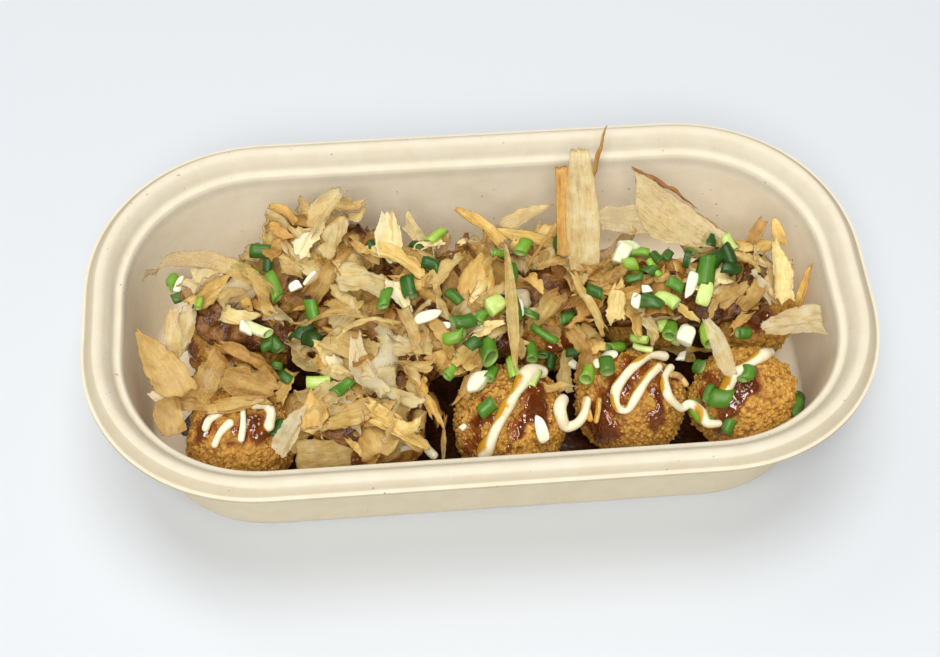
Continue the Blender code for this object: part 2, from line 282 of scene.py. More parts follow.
@dataclass(frozen=True)
class CrustFinish:
    """Fried crumb crust with glossy brown sauce where the mesh carries it, with painted shade in the hollows
    between crumbs and painted highlight on the crumb tops.
    """

    # Painted shade in the hollows between crumbs.
    crease: tuple = (0.290, 0.115, 0.020)
    golden: tuple = (0.672, 0.352, 0.049)
    # Painted highlight on the crumb tops.
    pale: tuple = (0.830, 0.550, 0.132)
    browned: tuple = (0.440, 0.208, 0.033)
    soaked: tuple = (0.270, 0.095, 0.014)
    sauce_thin: tuple = (0.290, 0.068, 0.008)
    sauce_thick: tuple = (0.120, 0.026, 0.004)

    def make(self) -> bpy.types.Material:
        """Build the material."""
        g = Graph("breaded_crust")
        here = g.place()
        crumb = g.number("crumb")
        sauce = g.number("sauce")
        fine = g.noise(here, 1500.0, 3.0)
        grain = g.noise(here, 620.0, 2.0)
        patch = g.noise(here, 130.0, 3.0)
        # Painted shade: where the crumb relief is low the crust is darker.
        colour = g.mix(g.ease(crumb, 0.0, 0.45), self.crease, self.golden)
        # Painted highlight: the crumb tops are paler.
        colour = g.mix(g.ease(crumb + (grain - 0.5) * 1.2, 0.50, 1.05) * 0.85, colour, self.pale)
        colour = g.mix(g.ease(patch + (grain - 0.5) * 0.5, 0.52, 0.74) * 0.55, colour, self.browned)
        colour = g.mix(g.ease(fine, 0.30, 0.70) * 0.38, colour, self.browned, "MULTIPLY")
        colour = g.mix(g.number("bake") * 0.55, colour, self.browned)
        colour = g.mix(g.ease(sauce, 0.06, 0.42) * 0.75, colour, self.soaked)
        wet = g.ease(sauce + (fine - 0.5) * 0.10, 0.40, 0.50)
        depth = g.ease(sauce, 0.45, 1.0)
        film = g.mix(depth, self.sauce_thin, self.sauce_thick)
        colour = g.mix(wet, colour, film)
        dry = 1.0 - wet
        return g.finish({
            "Base Color": colour,
            "Roughness": 0.62 - wet * 0.50,
            "Coat Weight": wet,
            "Coat Roughness": 0.05,
            "Normal": g.bump((fine + grain * 0.8) * dry, 0.85, 0.0006),
        })


@dataclass(frozen=True)
class SauceFinish:
    """Thick glossy brown sauce on the tray's floor, darker than the sauce on the balls: partly sauce, partly
    painted shade between the balls.
    """

    # Partly sauce colour, partly painted shade in the gaps between the balls.
    thin: tuple = (0.075, 0.022, 0.005)
    thick: tuple = (0.030, 0.008, 0.002)

    def make(self) -> bpy.types.Material:
        """Build the material."""
        g = Graph("brown_sauce")
        cloud = g.noise(g.place(), 240.0, 3.0)
        colour = g.mix(g.ease(cloud, 0.35, 0.65), self.thick, self.thin)
        return g.finish({
            "Base Color": colour,
            "Roughness": 0.20 + cloud * 0.14,
            "Normal": g.bump(cloud, 0.5, 0.0008),
        })


@dataclass(frozen=True)
class MayoFinish:
    """Ivory mayonnaise, tinted amber where sauce has run along it."""

    ivory: tuple = (0.900, 0.835, 0.610)
    shade: tuple = (0.840, 0.720, 0.420)
    amber: tuple = (0.560, 0.285, 0.018)

    def make(self) -> bpy.types.Material:
        """Build the material."""
        g = Graph("mayonnaise")
        here = g.place()
        cloud = g.noise(here, 420.0, 2.0)
        amber = g.number("amber")
        colour = g.mix(g.ease(cloud, 0.40, 0.70) * 0.6, self.ivory, self.shade)
        tint = g.ease(amber + (cloud - 0.5) * 0.35, 0.30, 0.75)
        colour = g.mix(tint, colour, self.amber)
        return g.finish({
            "Base Color": colour,
            "Roughness": 0.24 - tint * 0.10,
            "Subsurface Weight": 0.25,
            "Subsurface Radius": (1.0, 0.7, 0.35),
            "Subsurface Scale": 0.0015,
            "Normal": g.bump(cloud, 0.15, 0.0004),
        })


@dataclass(frozen=True)
class OnionFinish:
    """Spring onion from dark green leaf to white stalk, ribbed along its length."""

    stops: tuple = (
        (0.00, (0.010, 0.030, 0.004)),
        (0.20, (0.028, 0.090, 0.010)),
        (0.48, (0.100, 0.260, 0.020)),
        (0.75, (0.300, 0.500, 0.040)),
        (0.90, (0.620, 0.740, 0.230)),
        (1.00, (0.880, 0.860, 0.680)),
    )
    inside: tuple = (0.430, 0.560, 0.170)

    def make(self) -> bpy.types.Material:
        """Build the material."""
        g = Graph("spring_onion")
        flat = g.vector("flat")
        ribs = g.noise(g.stretch(flat, (160.0, 1900.0, 1900.0)), 1.0, 2.0)
        cloud = g.noise(g.place(), 330.0, 2.0)
        tone = g.number("tone") + (ribs - 0.5) * 0.22 + (cloud - 0.5) * 0.20
        colour = g.ramp(tone, self.stops)
        colour = g.mix(g.number("inside") * 0.55, colour, self.inside)
        return g.finish({
            "Base Color": colour,
            "Roughness": 0.30 + cloud * 0.20,
            "Subsurface Weight": 0.12,
            "Subsurface Radius": (0.6, 1.0, 0.3),
            "Subsurface Scale": 0.001,
            "Normal": g.bump(ribs, 0.35, 0.0003),
        })


@dataclass(frozen=True)
class FlakeFinish:
    """Dried fish shavings: thin, fibrous, from brown through straw to cream."""

    stops: tuple = (
        (0.00, (0.170, 0.055, 0.009)),
        (0.22, (0.380, 0.168, 0.028)),
        (0.45, (0.585, 0.320, 0.072)),
        (0.68, (0.760, 0.500, 0.150)),
        (0.88, (0.870, 0.680, 0.318)),
        (1.00, (0.830, 0.700, 0.446)),
    )
    burnt: tuple = (0.250, 0.090, 0.016)
    amber: tuple = (0.370, 0.168, 0.032)

    def make(self) -> bpy.types.Material:
        """Build the material."""
        g = Graph("fish_flakes")
        flat = g.vector("flat")
        fibre = g.noise(g.stretch(flat, (220.0, 1500.0, 1500.0)), 1.0, 3.0)
        cloud = g.noise(flat, 230.0, 3.0)
        fine = g.noise(flat, 1300.0, 2.0)
        speck = g.ease(g.noise(flat, 900.0, 1.0), 0.64, 0.72)
        tone = g.number("tone") + (fibre - 0.5) * 0.52 + (cloud - 0.5) * 0.56
        colour = g.ramp(tone, self.stops)
        streak = g.ease(g.noise(g.stretch(flat, (110.0, 700.0, 700.0)), 1.0, 2.0), 0.54, 0.68)
        colour = g.mix(streak * 0.42, colour, self.amber)
        edge = g.number("rim")
        rim = g.ease(edge + (cloud - 0.5) * 0.9, 0.72, 1.15)
        colour = g.mix(rim * g.number("burn"), colour, self.burnt)
        colour = g.mix(speck * 0.30, colour, self.burnt)
        sheer = g.number("sheer") * (1.50 - cloud * 0.7 - fibre * 0.3 - rim * 0.6)
        sheer = sheer.at_least(0.0).at_most(0.88)
        torn = g.ease(edge + (fine - 0.5) * 0.40 + (cloud - 0.5) * 0.10, 1.00, 1.03)
        return g.finish({
            "Base Color": colour,
            "Roughness": 0.46 + fibre * 0.18,
            "Alpha": (1.0 - sheer) * (1.0 - torn),
            "Subsurface Weight": 0.30,
            "Subsurface Radius": (1.0, 0.58, 0.24),
            "Subsurface Scale": 0.0016,
            "Normal": g.bump(fibre * 0.7 + cloud * 0.5 + fine * 0.2, 0.55, 0.0005),
        })


@dataclass(frozen=True)
class BedFinish:
    """Dark bed of flakes and crumbs seen through the gaps of the heap, dark partly from sauce and partly as
    painted shade deep in the heap.
    """

    # Partly sauce colour, partly painted shade deep in the heap.
    dark: tuple = (0.095, 0.027, 0.006)
    warm: tuple = (0.330, 0.145, 0.032)

    def make(self) -> bpy.types.Material:
        """Build the material."""
        g = Graph("sauce_and_shade_bed")
        here = g.place()
        cloud = g.noise(here, 210.0, 3.0)
        grain = g.noise(here, 900.0, 3.0)
        colour = g.mix(g.ease(cloud + grain * 0.3, 0.55, 0.85), self.dark, self.warm)
        return g.finish({
            "Base Color": colour,
            "Roughness": 0.18 + g.ease(cloud, 0.4, 0.7) * 0.4,
            "Normal": g.bump(grain + cloud, 0.7, 0.0009),
        })


@dataclass(frozen=True)
class FloorFinish:
    """Plain bluish white ground."""

    pale: tuple = (0.660, 0.687, 0.719)
    soft: tuple = (0.646, 0.673, 0.710)

    def make(self) -> bpy.types.Material:
        """Build the material."""
        g = Graph("floor")
        cloud = g.noise(g.place(), 6.0, 2.0)
        colour = g.mix(cloud, self.pale, self.soft)
        return g.finish({"Base Color": colour, "Roughness": 0.9})


# --- meshes ----------------------------------------------------------------------


def publish(piece: bpy.types.Object, slot: Slot, *nodes: str) -> bpy.types.Object:
    """Let a finished piece ride on the body and hide the nodes it stands for."""
    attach(piece, "root")
    if nodes:
        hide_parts(*nodes)
    LOG.info("%s: %d faces", piece.name, len(piece.data.polygons))
    return piece


def to_piece(name: str, bm: bmesh.types.BMesh, look: bpy.types.Material) -> bpy.types.Object:
    """Turn a bmesh into a smooth shaded object at the origin."""
    mesh = bpy.data.meshes.new(name)
    bm.to_mesh(mesh)
    bm.free()
    mesh.shade_smooth()
    mesh.materials.append(look)
    piece = bpy.data.objects.new(name, mesh)
    bpy.context.scene.collection.objects.link(piece)
    return piece


def places_of(bm: bmesh.types.BMesh) -> np.ndarray:
    """The corners of a bmesh as an array."""
    return np.array([v.co for v in bm.verts], float)


def move_to(mesh: bpy.types.Mesh, places: np.ndarray) -> None:
    """Move a mesh's corners."""
    mesh.vertices.foreach_set("co", places.astype(np.float32).ravel())
    mesh.update()


def carry(mesh: bpy.types.Mesh, name: str, values: np.ndarray) -> None:
    """Give each corner a number, or a vector, that materials can read."""
    if values.ndim == 2:
        layer = mesh.attributes.new(name, "FLOAT_VECTOR", "POINT")
        layer.data.foreach_set("vector", values.astype(np.float32).ravel())
    else:
        layer = mesh.attributes.new(name, "FLOAT", "POINT")
        layer.data.foreach_set("value", values.astype(np.float32))


def swell(points: np.ndarray, size: float, seed: int, waves: int = 14) -> np.ndarray:
    """Smooth random numbers about 0, with lumps of one size.

    Args:
        points: places, one row each.
        size: distance over which the numbers change.
        seed: picks the pattern.
        waves: how many plane waves are added.

    Returns:
        One number for each place, mostly between -2 and 2.
    """
    rng = np.random.default_rng(seed)
    push = rng.normal(size=(waves, 3))
    length = np.linalg.norm(push, axis=1, keepdims=True)
    push *= 2 * math.pi / size * rng.uniform(0.6, 1.3, (waves, 1)) / length
    start = rng.uniform(0.0, 2 * math.pi, waves)
    return np.sin(points @ push.T + start).sum(axis=1) / math.sqrt(waves / 2)


def ease(values: np.ndarray, low: float, high: float) -> np.ndarray:
    """Smooth step from 0 at low to 1 at high."""
    t = np.clip((values - low) / (high - low), 0.0, 1.0)
    return t * t * (3 - 2 * t)


def sweep(rings: list, closed_ends: bool) -> bmesh.types.BMesh:
    """Join rings of points into a skin by extruding the first ring.

    Args:
        rings: arrays of places with one row for each point of the ring.
        closed_ends: whether the first and last ring are filled.

    Returns:
        The skin.
    """
    bm = bmesh.new()
    bmesh.ops.create_circle(bm, segments=len(rings[0]), radius=1.0, cap_ends=closed_ends)
    bm.verts.ensure_lookup_table()
    ring = list(bm.verts)
    edges = list(bm.edges)
    for row, places in enumerate(rings):
        if row:
            grown = bmesh.ops.extrude_edge_only(bm, edges=edges)["geom"]
            fresh = {item for item in grown if isinstance(item, bmesh.types.BMVert)}
            ring = [next(e.other_vert(v) for e in v.link_edges if e.other_vert(v) in fresh) for v in ring]
            edges = [e for e in grown if isinstance(e, bmesh.types.BMEdge) and fresh.issuperset(e.verts)]
        for vert, place in zip(ring, places):
            vert.co = place
    if closed_ends:
        bm.faces.new(ring)
        bmesh.ops.recalc_face_normals(bm, faces=bm.faces)
    return bm


class Crowd:
    """Many copies of one small shape, joined as one mesh and held inside the tray."""

    basin: "Basin"

    def __init__(self, name: str, shape: bmesh.types.BMesh) -> None:
        """Keep the shape that is repeated.

        Args:
            name: name of the piece.
            shape: the shape, freed when the crowd is built.
        """
        self.name = name
        self.shape = shape
        self.base = places_of(shape)
        self.places: list = []
        self.values: dict = {}

    def put(self, places: np.ndarray, **values: np.ndarray) -> None:
        """Add one copy by the places of its corners, with a number or array for each attribute."""
        self.places.append(self.basin.hold(places))
        for key, given in values.items():
            full = np.broadcast_to(np.asarray(given, float), (len(places), *np.shape(given)[1:]))
            self.values.setdefault(key, []).append(full)

    def build(self, look: bpy.types.Material) -> bpy.types.Object:
        """Join the copies into one object."""
        single = bpy.data.meshes.new(self.name + "_shape")
        self.shape.to_mesh(single)
        self.shape.free()
        joined = bmesh.new()
        for _ in self.places:
            joined.from_mesh(single)
        bpy.data.meshes.remove(single)
        piece = to_piece(self.name, joined, look)
        move_to(piece.data, np.concatenate(self.places))
        for key, parts in self.values.items():
            carry(piece.data, key, np.concatenate(parts))
        return piece


def thicken(piece: bpy.types.Object, thickness: float, offset: float = 0.0) -> None:
    """Give a sheet its thickness."""
    wall = piece.modifiers.new("wall", "SOLIDIFY")
    wall.thickness = thickness
    wall.offset = offset


def publish_sheets(crowd: Crowd, look: bpy.types.Material, slot: Slot, thickness: float,
                   *nodes: str) -> bpy.types.Object:
    """Build a crowd of thin sheets, give them their thickness and publish them."""
    piece = crowd.build(look)
    thicken(piece, thickness)
    return publish(piece, slot, *nodes)


def seed_from(name: str) -> int:
    """A seed that differs from name to name."""
    return sum(map(ord, name))


# --- ground ----------------------------------------------------------------------


class Ground:
    """The solids of the frame as a bed that toppings drop onto."""

    looks_round: int = 8
    lowest_left_out: int = 2
    settle: float = 2.0 * MM

    def __init__(self, nodes: list) -> None:
        """Read the triangles of the named nodes."""
        corners: list = []
        faces: list = []
        for node in nodes:
            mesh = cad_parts[node].data
            first = len(corners)
            corners += [v.co.copy() for v in mesh.vertices]
            faces += [[first + i for i in face.vertices] for face in mesh.polygons]
        self.tree = BVHTree.FromPolygons(corners, faces)

    def drop(self, x: float, y: float) -> tuple:
        """Place and outward direction of the surface under a point, or (None, None)."""
        place, normal, _, _ = self.tree.ray_cast(Vector((x, y, ABOVE)), -UP)
        if place is not None and normal.z < 0:
            normal = -normal
        return place, normal

    def level(self, x: float, y: float, reach: float) -> Vector:
        """Place where a piece of some reach comes to lie, bridging narrow gaps."""
        own, _ = self.drop(x, y)
        height = own.z if own else 0.0
        around = []
        for step in range(self.looks_round):
            angle = step * 2 * math.pi / self.looks_round
            found, _ = self.drop(x + reach * math.cos(angle), y + reach * math.sin(angle))
            around.append(found.z if found else 0.0)
        kept = sorted(around)[self.lowest_left_out:]
        bridged = sum(kept) / len(kept) - self.settle
        return Vector((x, y, max(height, bridged)))

    def slope(self, x: float, y: float, reach: float) -> Vector:
        """Average outward direction round one place."""
        total = Vector()
        for dx, dy in ((0.0, 0.0), (reach, 0.0), (-reach, 0.0), (0.0, reach), (0.0, -reach)):
            _, normal = self.drop(x + dx, y + dy)
            total += normal if normal else UP
        return total.normalized()


# --- tray ------------------------------------------------------------------------


@dataclass
class Tray:
    """The moulded tray, swept finely round its outline."""

    corner: float = 55.7 * MM
    power: float = 2.1
    corner_steps: int = 40
    wall: float = 1.0 * MM
    draft: float = 4.0 * MM
    fillet: float = 5.0 * MM
    channel_half: float = 8.0 * MM
    channel_flat: float = 4.5 * MM
    channel_depth: float = 0.9 * MM
    channel_top: float = 4.0 * MM
    rim: tuple = (
        (0.0, 2.9), (1.0, 2.8), (1.9, 1.7), (3.2, 0.4), (4.6, 0.0), (6.3, 0.6),
        (8.0, 2.6), (9.2, 4.6), (10.1, 5.2), (11.2, 5.5), (11.9, 6.6),
    )

    def section(self, height: float) -> list:
        """Inset and height of the inner face, from the lip to the floor."""
        rim = [Vector((inset * MM, height - drop * MM)) for inset, drop in self.rim]
        line = smooth_route(rim, 4)
        top = line[-1]
        foot = top.x + self.draft
        low = self.wall + self.fillet
        for step in range(1, 8):
            line.append(top.lerp(Vector((foot, low)), step / 8))
        for step in range(9):
            angle = math.pi / 2 * step / 8
            bend = Vector((1 - math.cos(angle), -math.sin(angle))) * self.fillet
            line.append(Vector((foot, low)) + bend)
        return line

    def outline(self, half_x: float, half_y: float, inset: float) -> np.ndarray:
        """Plan outline, offset inwards from the lip."""
        radius = self.corner - inset
        turn = np.linspace(0.0, math.pi / 2, self.corner_steps + 1)
        across = half_x - inset - radius + radius * np.cos(turn).clip(0) ** (2 / self.power)
        along = half_y - inset - radius + radius * np.sin(turn).clip(0) ** (2 / self.power)
        straight = np.array([0.045, 0.028, 0.015, self.channel_half, self.channel_flat, 0.0015])
        quarter = np.column_stack([
            np.concatenate([across, straight]),
            np.concatenate([along, np.full(len(straight), half_y - inset)]),
        ])
        half = np.concatenate([quarter, quarter[::-1] * (-1, 1)])
        return np.concatenate([half, -half])

    def build(self, look: bpy.types.Material) -> bpy.types.Object:
        """Sweep the section and close the floor."""
        _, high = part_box("tray")
        rings = []
        for inset, height in self.section(high.z):
            plan = self.outline(high.x, high.y, inset)
            ramp = (self.channel_half - np.abs(plan[:, 0])) / (self.channel_half - self.channel_flat)
            rise = self.channel_depth * ramp.clip(0.0, 1.0) * (height < self.channel_top)
            rings.append(np.column_stack([plan, height + rise]))
        bm = sweep(rings, False)
        bm.verts.ensure_lookup_table()
        rim = [v for v in bm.verts if v.is_boundary and v.co.z < self.channel_top]
        bmesh.ops.holes_fill(bm, edges=[e for e in bm.edges if e.is_boundary and e.verts[0] in rim])
        bmesh.ops.recalc_face_normals(bm, faces=bm.faces)
        bm.faces.ensure_lookup_table()
        if bm.faces[-1].normal.z < 0:
            bmesh.ops.reverse_faces(bm, faces=bm.faces)
        piece = to_piece("tray_shell", bm, look)
        thicken(piece, self.wall, -1.0)
        edge = piece.modifiers.new("edge", "BEVEL")
        edge.width = 0.3 * MM
        edge.segments = 2
        edge.limit_method = "ANGLE"
        edge.angle_limit = math.radians(50.0)
        return publish(piece, Slot.FIBRE, "tray")


class Basin:
    """The tray's inner face, which holds what is scattered inside it."""

    crest: float = 4.6 * MM
    gap: float = 0.5 * MM

    def __init__(self, tray: Tray) -> None:
        """Read the inner face's inset at each height."""
        low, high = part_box("tray")
        inner = [p for p in tray.section(high.z) if p.x >= self.crest][::-1]
        self.heights = np.array([p.y for p in inner])
        self.insets = np.array([p.x for p in inner])
        self.corner = tray.corner
        self.middle = np.array((high.x, high.y)) - tray.corner
        self.floor = low.z + tray.wall + 2 * self.gap

    def hold(self, places: np.ndarray) -> np.ndarray:
        """Pull places that lie outside the inner face back onto it."""
        height = places[:, 2]
        radius = self.corner - np.interp(height, self.heights, self.insets) - self.gap
        away = np.abs(places[:, :2]) - self.middle
        reach = np.hypot(*away.clip(0.0).T)
        beyond = (reach > radius) & (height < self.heights[-1])
        pull = np.where(beyond, radius / reach.clip(self.gap), 1.0)
        away = np.where(away > 0.0, away * pull[:, None], away)
        plan = np.sign(places[:, :2]) * (self.middle + away)
        return np.column_stack([plan, height.clip(self.floor)])


def smooth_route(points: list, steps: int) -> list:
    """Read a smooth curve through points, Catmull-Rom fashion."""
    padded = [points[0], *points, points[-1]]
    route = []
    for index in range(len(points) - 1):
        before, start, end, after = (Vector(p) for p in padded[index:index + 4])
        for step in range(steps):
            t = step / steps
            pull = (end - before) * t
            bend = (before * 2 - start * 5 + end * 4 - after) * t**2
            twist = (start * 3 - before - end * 3 + after) * t**3
            route.append((start * 2 + pull + bend + twist) / 2)
    route.append(Vector(points[-1]))
    return route


# --- balls -----------------------------------------------------------------------


def aim(azimuth: float, elevation: float) -> Vector:
    """Direction from a middle: azimuth from -Y towards +X, elevation from level, in degrees."""
    a, e = math.radians(azimuth), math.radians(elevation)
    return Vector((math.sin(a) * math.cos(e), -math.cos(a) * math.cos(e), math.sin(e)))


@dataclass
class Ball:
    """One ball with its crumb relief and the sauce that runs over it."""

    node: str
    detail: int
    sauce: tuple
    bake: float = 0.4
    spread: float = 13.0
    crumb_gap: float = 0.85 * MM
    crumb_rise: float = 1.05 * MM
    film: float = 0.55 * MM

    def __post_init__(self) -> None:
        """Read the ball's place and size from its node."""
        low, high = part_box(self.node)
        self.centre = np.array((low + high) / 2)
        self.half = np.array((high - low) / 2)
        self.seed = int(self.node.split("_")[1]) * 37

    def sauce_at(self, away: np.ndarray) -> np.ndarray:
        """How deep the sauce lies in each direction, about 0.5 at its edge."""
        wander = np.column_stack([swell(away, 0.35, self.seed + k) for k in range(3)]) * 0.07
        ragged = away + wander
        ragged /= np.linalg.norm(ragged, axis=1, keepdims=True)
        depth = np.zeros(len(away))
        for azimuth, elevation, size in self.sauce:
            cosine = ragged @ np.array(aim(azimuth, elevation))
            angle = np.degrees(np.arccos(cosine.clip(-1.0, 1.0)))
            depth += np.exp(-(angle / (self.spread * size)) ** 2)
        return np.clip(depth * 0.92 + 0.04 * swell(away, 0.12, self.seed + 5), 0.0, 1.0)

    def crumbs_at(self, away: np.ndarray) -> np.ndarray:
        """Height of the crumb relief in each direction, 0 to 1."""
        rng = np.random.default_rng(self.seed)
        radius = float(self.half[0])
        count = int(4 * math.pi * radius**2 / self.crumb_gap**2)
        seeds = rng.normal(size=(count, 3))
        seeds /= np.linalg.norm(seeds, axis=1, keepdims=True)
        sizes = rng.uniform(0.50, 1.15, count) * self.crumb_gap
        rises = rng.uniform(0.15, 1.0, count)
        tree = KDTree(count)
        for index, place in enumerate(seeds):
            tree.insert(place, index)
        tree.balance()
        height = np.zeros(len(away))
        for row, direction in enumerate(away):
            best = 0.0
            for _, index, gap in tree.find_n(direction, 4):
                share = gap * radius / sizes[index]
                if share < 1.0:
                    best = max(best, rises[index] * math.sqrt(1.0 - share * share))
            height[row] = best
        return height

    def build(self, look: bpy.types.Material) -> bpy.types.Object:
        """Make the ball."""
        bm = bmesh.new()
        bmesh.ops.create_icosphere(bm, subdivisions=self.detail, radius=1.0)
        away = places_of(bm)
        away /= np.linalg.norm(away, axis=1, keepdims=True)
        piece = to_piece(self.node + "_crust", bm, look)
        crumb = self.crumbs_at(away)
        sauce = self.sauce_at(away)
        wet = ease(sauce, 0.38, 0.60)
        lump = 0.022 * swell(away, 0.9, self.seed + 9) + 0.014 * swell(away, 0.30, self.seed + 11)
        body = self.half[0] * (0.995 + lump.clip(-0.050, 0.040)) - self.crumb_rise * 0.6
        rise = self.crumb_rise * crumb
        smoothed = self.crumb_rise * (0.25 + 0.42 * crumb) + self.film * ease(sauce, 0.45, 0.95)
        radius = body + rise * (1 - wet) + smoothed * wet
        squash = self.half / self.half[0]
        move_to(piece.data, self.centre + away * radius[:, None] * squash)
        carry(piece.data, "crumb", crumb)
        carry(piece.data, "sauce", sauce)
        carry(piece.data, "bake", np.full(len(away), self.bake))
        self.away, self.radius, self.wet = away, radius, wet
        return publish(piece, Slot.CRUST, self.node)

    def loose(self, crowd: Crowd, count: int) -> None:
        """Stand loose crumbs on the dry crust.

        Args:
            crowd: takes the crumbs.
            count: how many are tried.
        """
        rng = np.random.default_rng(self.seed + 3)
        squash = self.half / self.half[0]
        for index in rng.integers(0, len(self.away), count):
            if self.wet[index] > 0.3:
                continue
            size = (0.20 + 0.62 * rng.random() ** 1.8) * MM
            if self.away[index, 2] < -0.5:
                continue
            spot = self.centre + self.away[index] * (self.radius[index] - 0.1 * MM) * squash
            stretch = rng.uniform(0.6, 1.3, 3)
            ragged = crowd.base * rng.uniform(0.7, 1.15, (len(crowd.base), 1))
            crowd.put(spot + ragged * stretch * size, crumb=rng.uniform(0.25, 1.0), sauce=0.0, bake=self.bake)


@dataclass
class SaucePool:
    """Sauce and fat that have run down between the balls onto the tray's floor; its dark colour is partly
    painted shade between the balls.
    """

    half_x: float = 100.0 * MM
    low_y: float = -46.0 * MM
    high_y: float = 30.0 * MM
    reach: float = 0.80
    wander: float = 0.11
    sunk: float = 0.09
    cell: float = 1.2 * MM
    depth: float = 0.7 * MM
    dip: float = 0.03 * MM
    bed: float = 0.07 * MM
    sheet: float = 1.0 * MM

    def build(self, look: bpy.types.Material) -> bpy.types.Object:
        """Dome a grid over a flat underside that lies just inside the tray's floor."""
        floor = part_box("tray")[0].z + self.sheet
        middle = (self.low_y + self.high_y) / 2
        half_y = (self.high_y - self.low_y) / 2
        bm = bmesh.new()
        columns, rows = int(2 * self.half_x / self.cell), int(2 * half_y / self.cell)
        bmesh.ops.create_grid(bm, x_segments=columns, y_segments=rows, size=1.0)
        places = places_of(bm) * (self.half_x, half_y, 0.0)
        edge = self.reach - (places[:, 0] / self.half_x) ** 4 - (places[:, 1] / half_y) ** 2
        edge += self.wander * swell(places, 17.0 * MM, 17, 24)
        for vert, place, inside in zip(bm.verts, places, edge):
            rise = max(-self.dip, self.depth * min(1.0, inside * 4))
            vert.co = Vector((place[0], place[1] + middle, floor + rise))
        outside = [v for v, inside in zip(bm.verts, edge) if inside < -self.sunk]
        bmesh.ops.delete(bm, geom=outside, context="VERTS")
        under = bmesh.ops.extrude_face_region(bm, geom=bm.faces[:])["geom"]
        for vert in (part for part in under if isinstance(part, bmesh.types.BMVert)):
            vert.co.z = floor - self.bed
        bmesh.ops.recalc_face_normals(bm, faces=bm.faces[:])
        return publish(to_piece("sauce_and_shade_pool", bm, look), Slot.SAUCE)


# --- flakes ----------------------------------------------------------------------


@dataclass(frozen=True)
class Cut:
    """Numbers of one flake: its cut and how it has curled."""

    length: float
    width: float
    taper: float = 0.8
    bend: float = 0.3
    curl: float = 0.0
    cup: float = 0.1
    crease: float = 0.0
    twist: float = 0.0
    skew: float = 0.0
    jag: float = 0.25
    ripple: float = 0.3 * MM
    points: tuple = (0.0, 0.0)
    sway: float = 0.0
    kink: float = 0.0
    notch: float = 0.0
    straight: float = 0.0


class Sheet:
    """A flat grid that is torn, bent and laid as one flake."""

    def __init__(self, columns: int, rows: int) -> None:
        """Make the grid."""
        self.shape = bmesh.new()
        bmesh.ops.create_grid(self.shape, x_segments=columns, y_segments=rows, size=1.0)
        self.plan = places_of(self.shape)
        self.u = self.plan[:, 0]
        self.v = self.plan[:, 1]
        self.column = np.rint((self.u + 1) / 2 * columns).astype(int)
        self.row = np.rint((self.v + 1) / 2 * rows).astype(int)
        self.columns = columns
        self.rows = rows

    def form(self, cut: Cut, rng: np.random.Generator) -> tuple:
        """Tear and bend the grid.

        Args:
            cut: the flake's numbers.
            rng: draws its ragged edges.

        Returns:
            Places about the middle, how near the rim each is, and flat coordinates.
        """
        u, v = self.u, self.v
        side = np.where(v > 0, self.torn(self.columns, cut.jag, rng)[self.column],
                        self.torn(self.columns, cut.jag, rng)[self.column])
        end = np.where(u > 0, self.torn(self.rows, cut.jag, rng)[self.row],
                       self.torn(self.rows, cut.jag, rng)[self.row])
        narrowing = 1 - np.where(u > 0, cut.points[1], cut.points[0]) * np.abs(u) ** 1.5
        if rng.random() < cut.notch:
            tear = rng.uniform(-0.7, 0.7)
            narrowing = narrowing * (1 - 0.6 * np.exp(-((u - tear) / 0.12) ** 2) * (v > 0))
        half = cut.width / 2 * (1 + (cut.taper - 1) * (u + 1) / 2) * narrowing
        y = half * v * (1 + (side - 1) * np.abs(v)) + cut.straight * (cut.width / 2 - half)
        y += cut.sway * cut.width * np.sin(2.2 * u + rng.uniform(0.0, 6.0))
        reach = cut.length / 2
        along = reach * u * (1 + (end - 1) * 0.70 * np.abs(u) ** 3) + cut.skew * y
        steps = np.linspace(-1.0, 1.0, self.columns + 1)
        angle = cut.bend / 2 * steps + cut.curl * steps**2 / 2
        angle += cut.kink * np.tanh((steps - rng.uniform(-0.4, 0.4)) * 6.0) / 2
        run = np.diff(steps, prepend=steps[0]) * reach
        middle = (angle + np.concatenate([angle[:1], angle[:-1]])) / 2
        spine_x = np.cumsum(np.cos(middle) * run)
        spine_z = np.cumsum(np.sin(middle) * run)
        spine_x -= spine_x.mean()
        spine_z -= spine_z.mean()
        extra = along - reach * u
        lift = cut.cup * half * (v**2 - 0.4) + cut.crease * half * (np.abs(v) - 0.5)
        seed = int(rng.integers(1, 1 << 30))
        flat = np.column_stack([along, y, np.full(len(u), (seed % 997) * 0.013)])
        lift = lift + cut.ripple * swell(flat * (1, 1, 0), 7.0 * MM, seed, 8) * (0.3 + 0.7 * np.abs(v))
        lift = lift + cut.ripple * 0.35 * swell(flat * (1, 1, 0), 2.8 * MM, seed + 1, 8)
        roll = cut.twist * u / 2
        side_y = y * np.cos(roll) - lift * np.sin(roll)
        side_z = y * np.sin(roll) + lift * np.cos(roll)
        tangent = angle[self.column]
        x = spine_x[self.column] + extra * np.cos(tangent) - side_z * np.sin(tangent)
        z = spine_z[self.column] + extra * np.sin(tangent) + side_z * np.cos(tangent)
        rim = np.maximum(np.abs(u) ** 4, np.abs(v) ** 3)
        return np.column_stack([x, side_y, z]), rim, flat

    @staticmethod
    def torn(steps: int, jag: float, rng: np.random.Generator) -> np.ndarray:
        """A broken edge: straight stretches between a few random corners."""
        corners = min(steps, int(rng.integers(2, 5)))
        knots = 1.0 + jag * rng.uniform(-1.0, 0.45, corners + 1)
        smooth = np.interp(np.linspace(0, corners, steps + 1), np.arange(corners + 1), knots)
        return smooth + jag * 0.28 * rng.uniform(-1.0, 1.0, steps + 1)


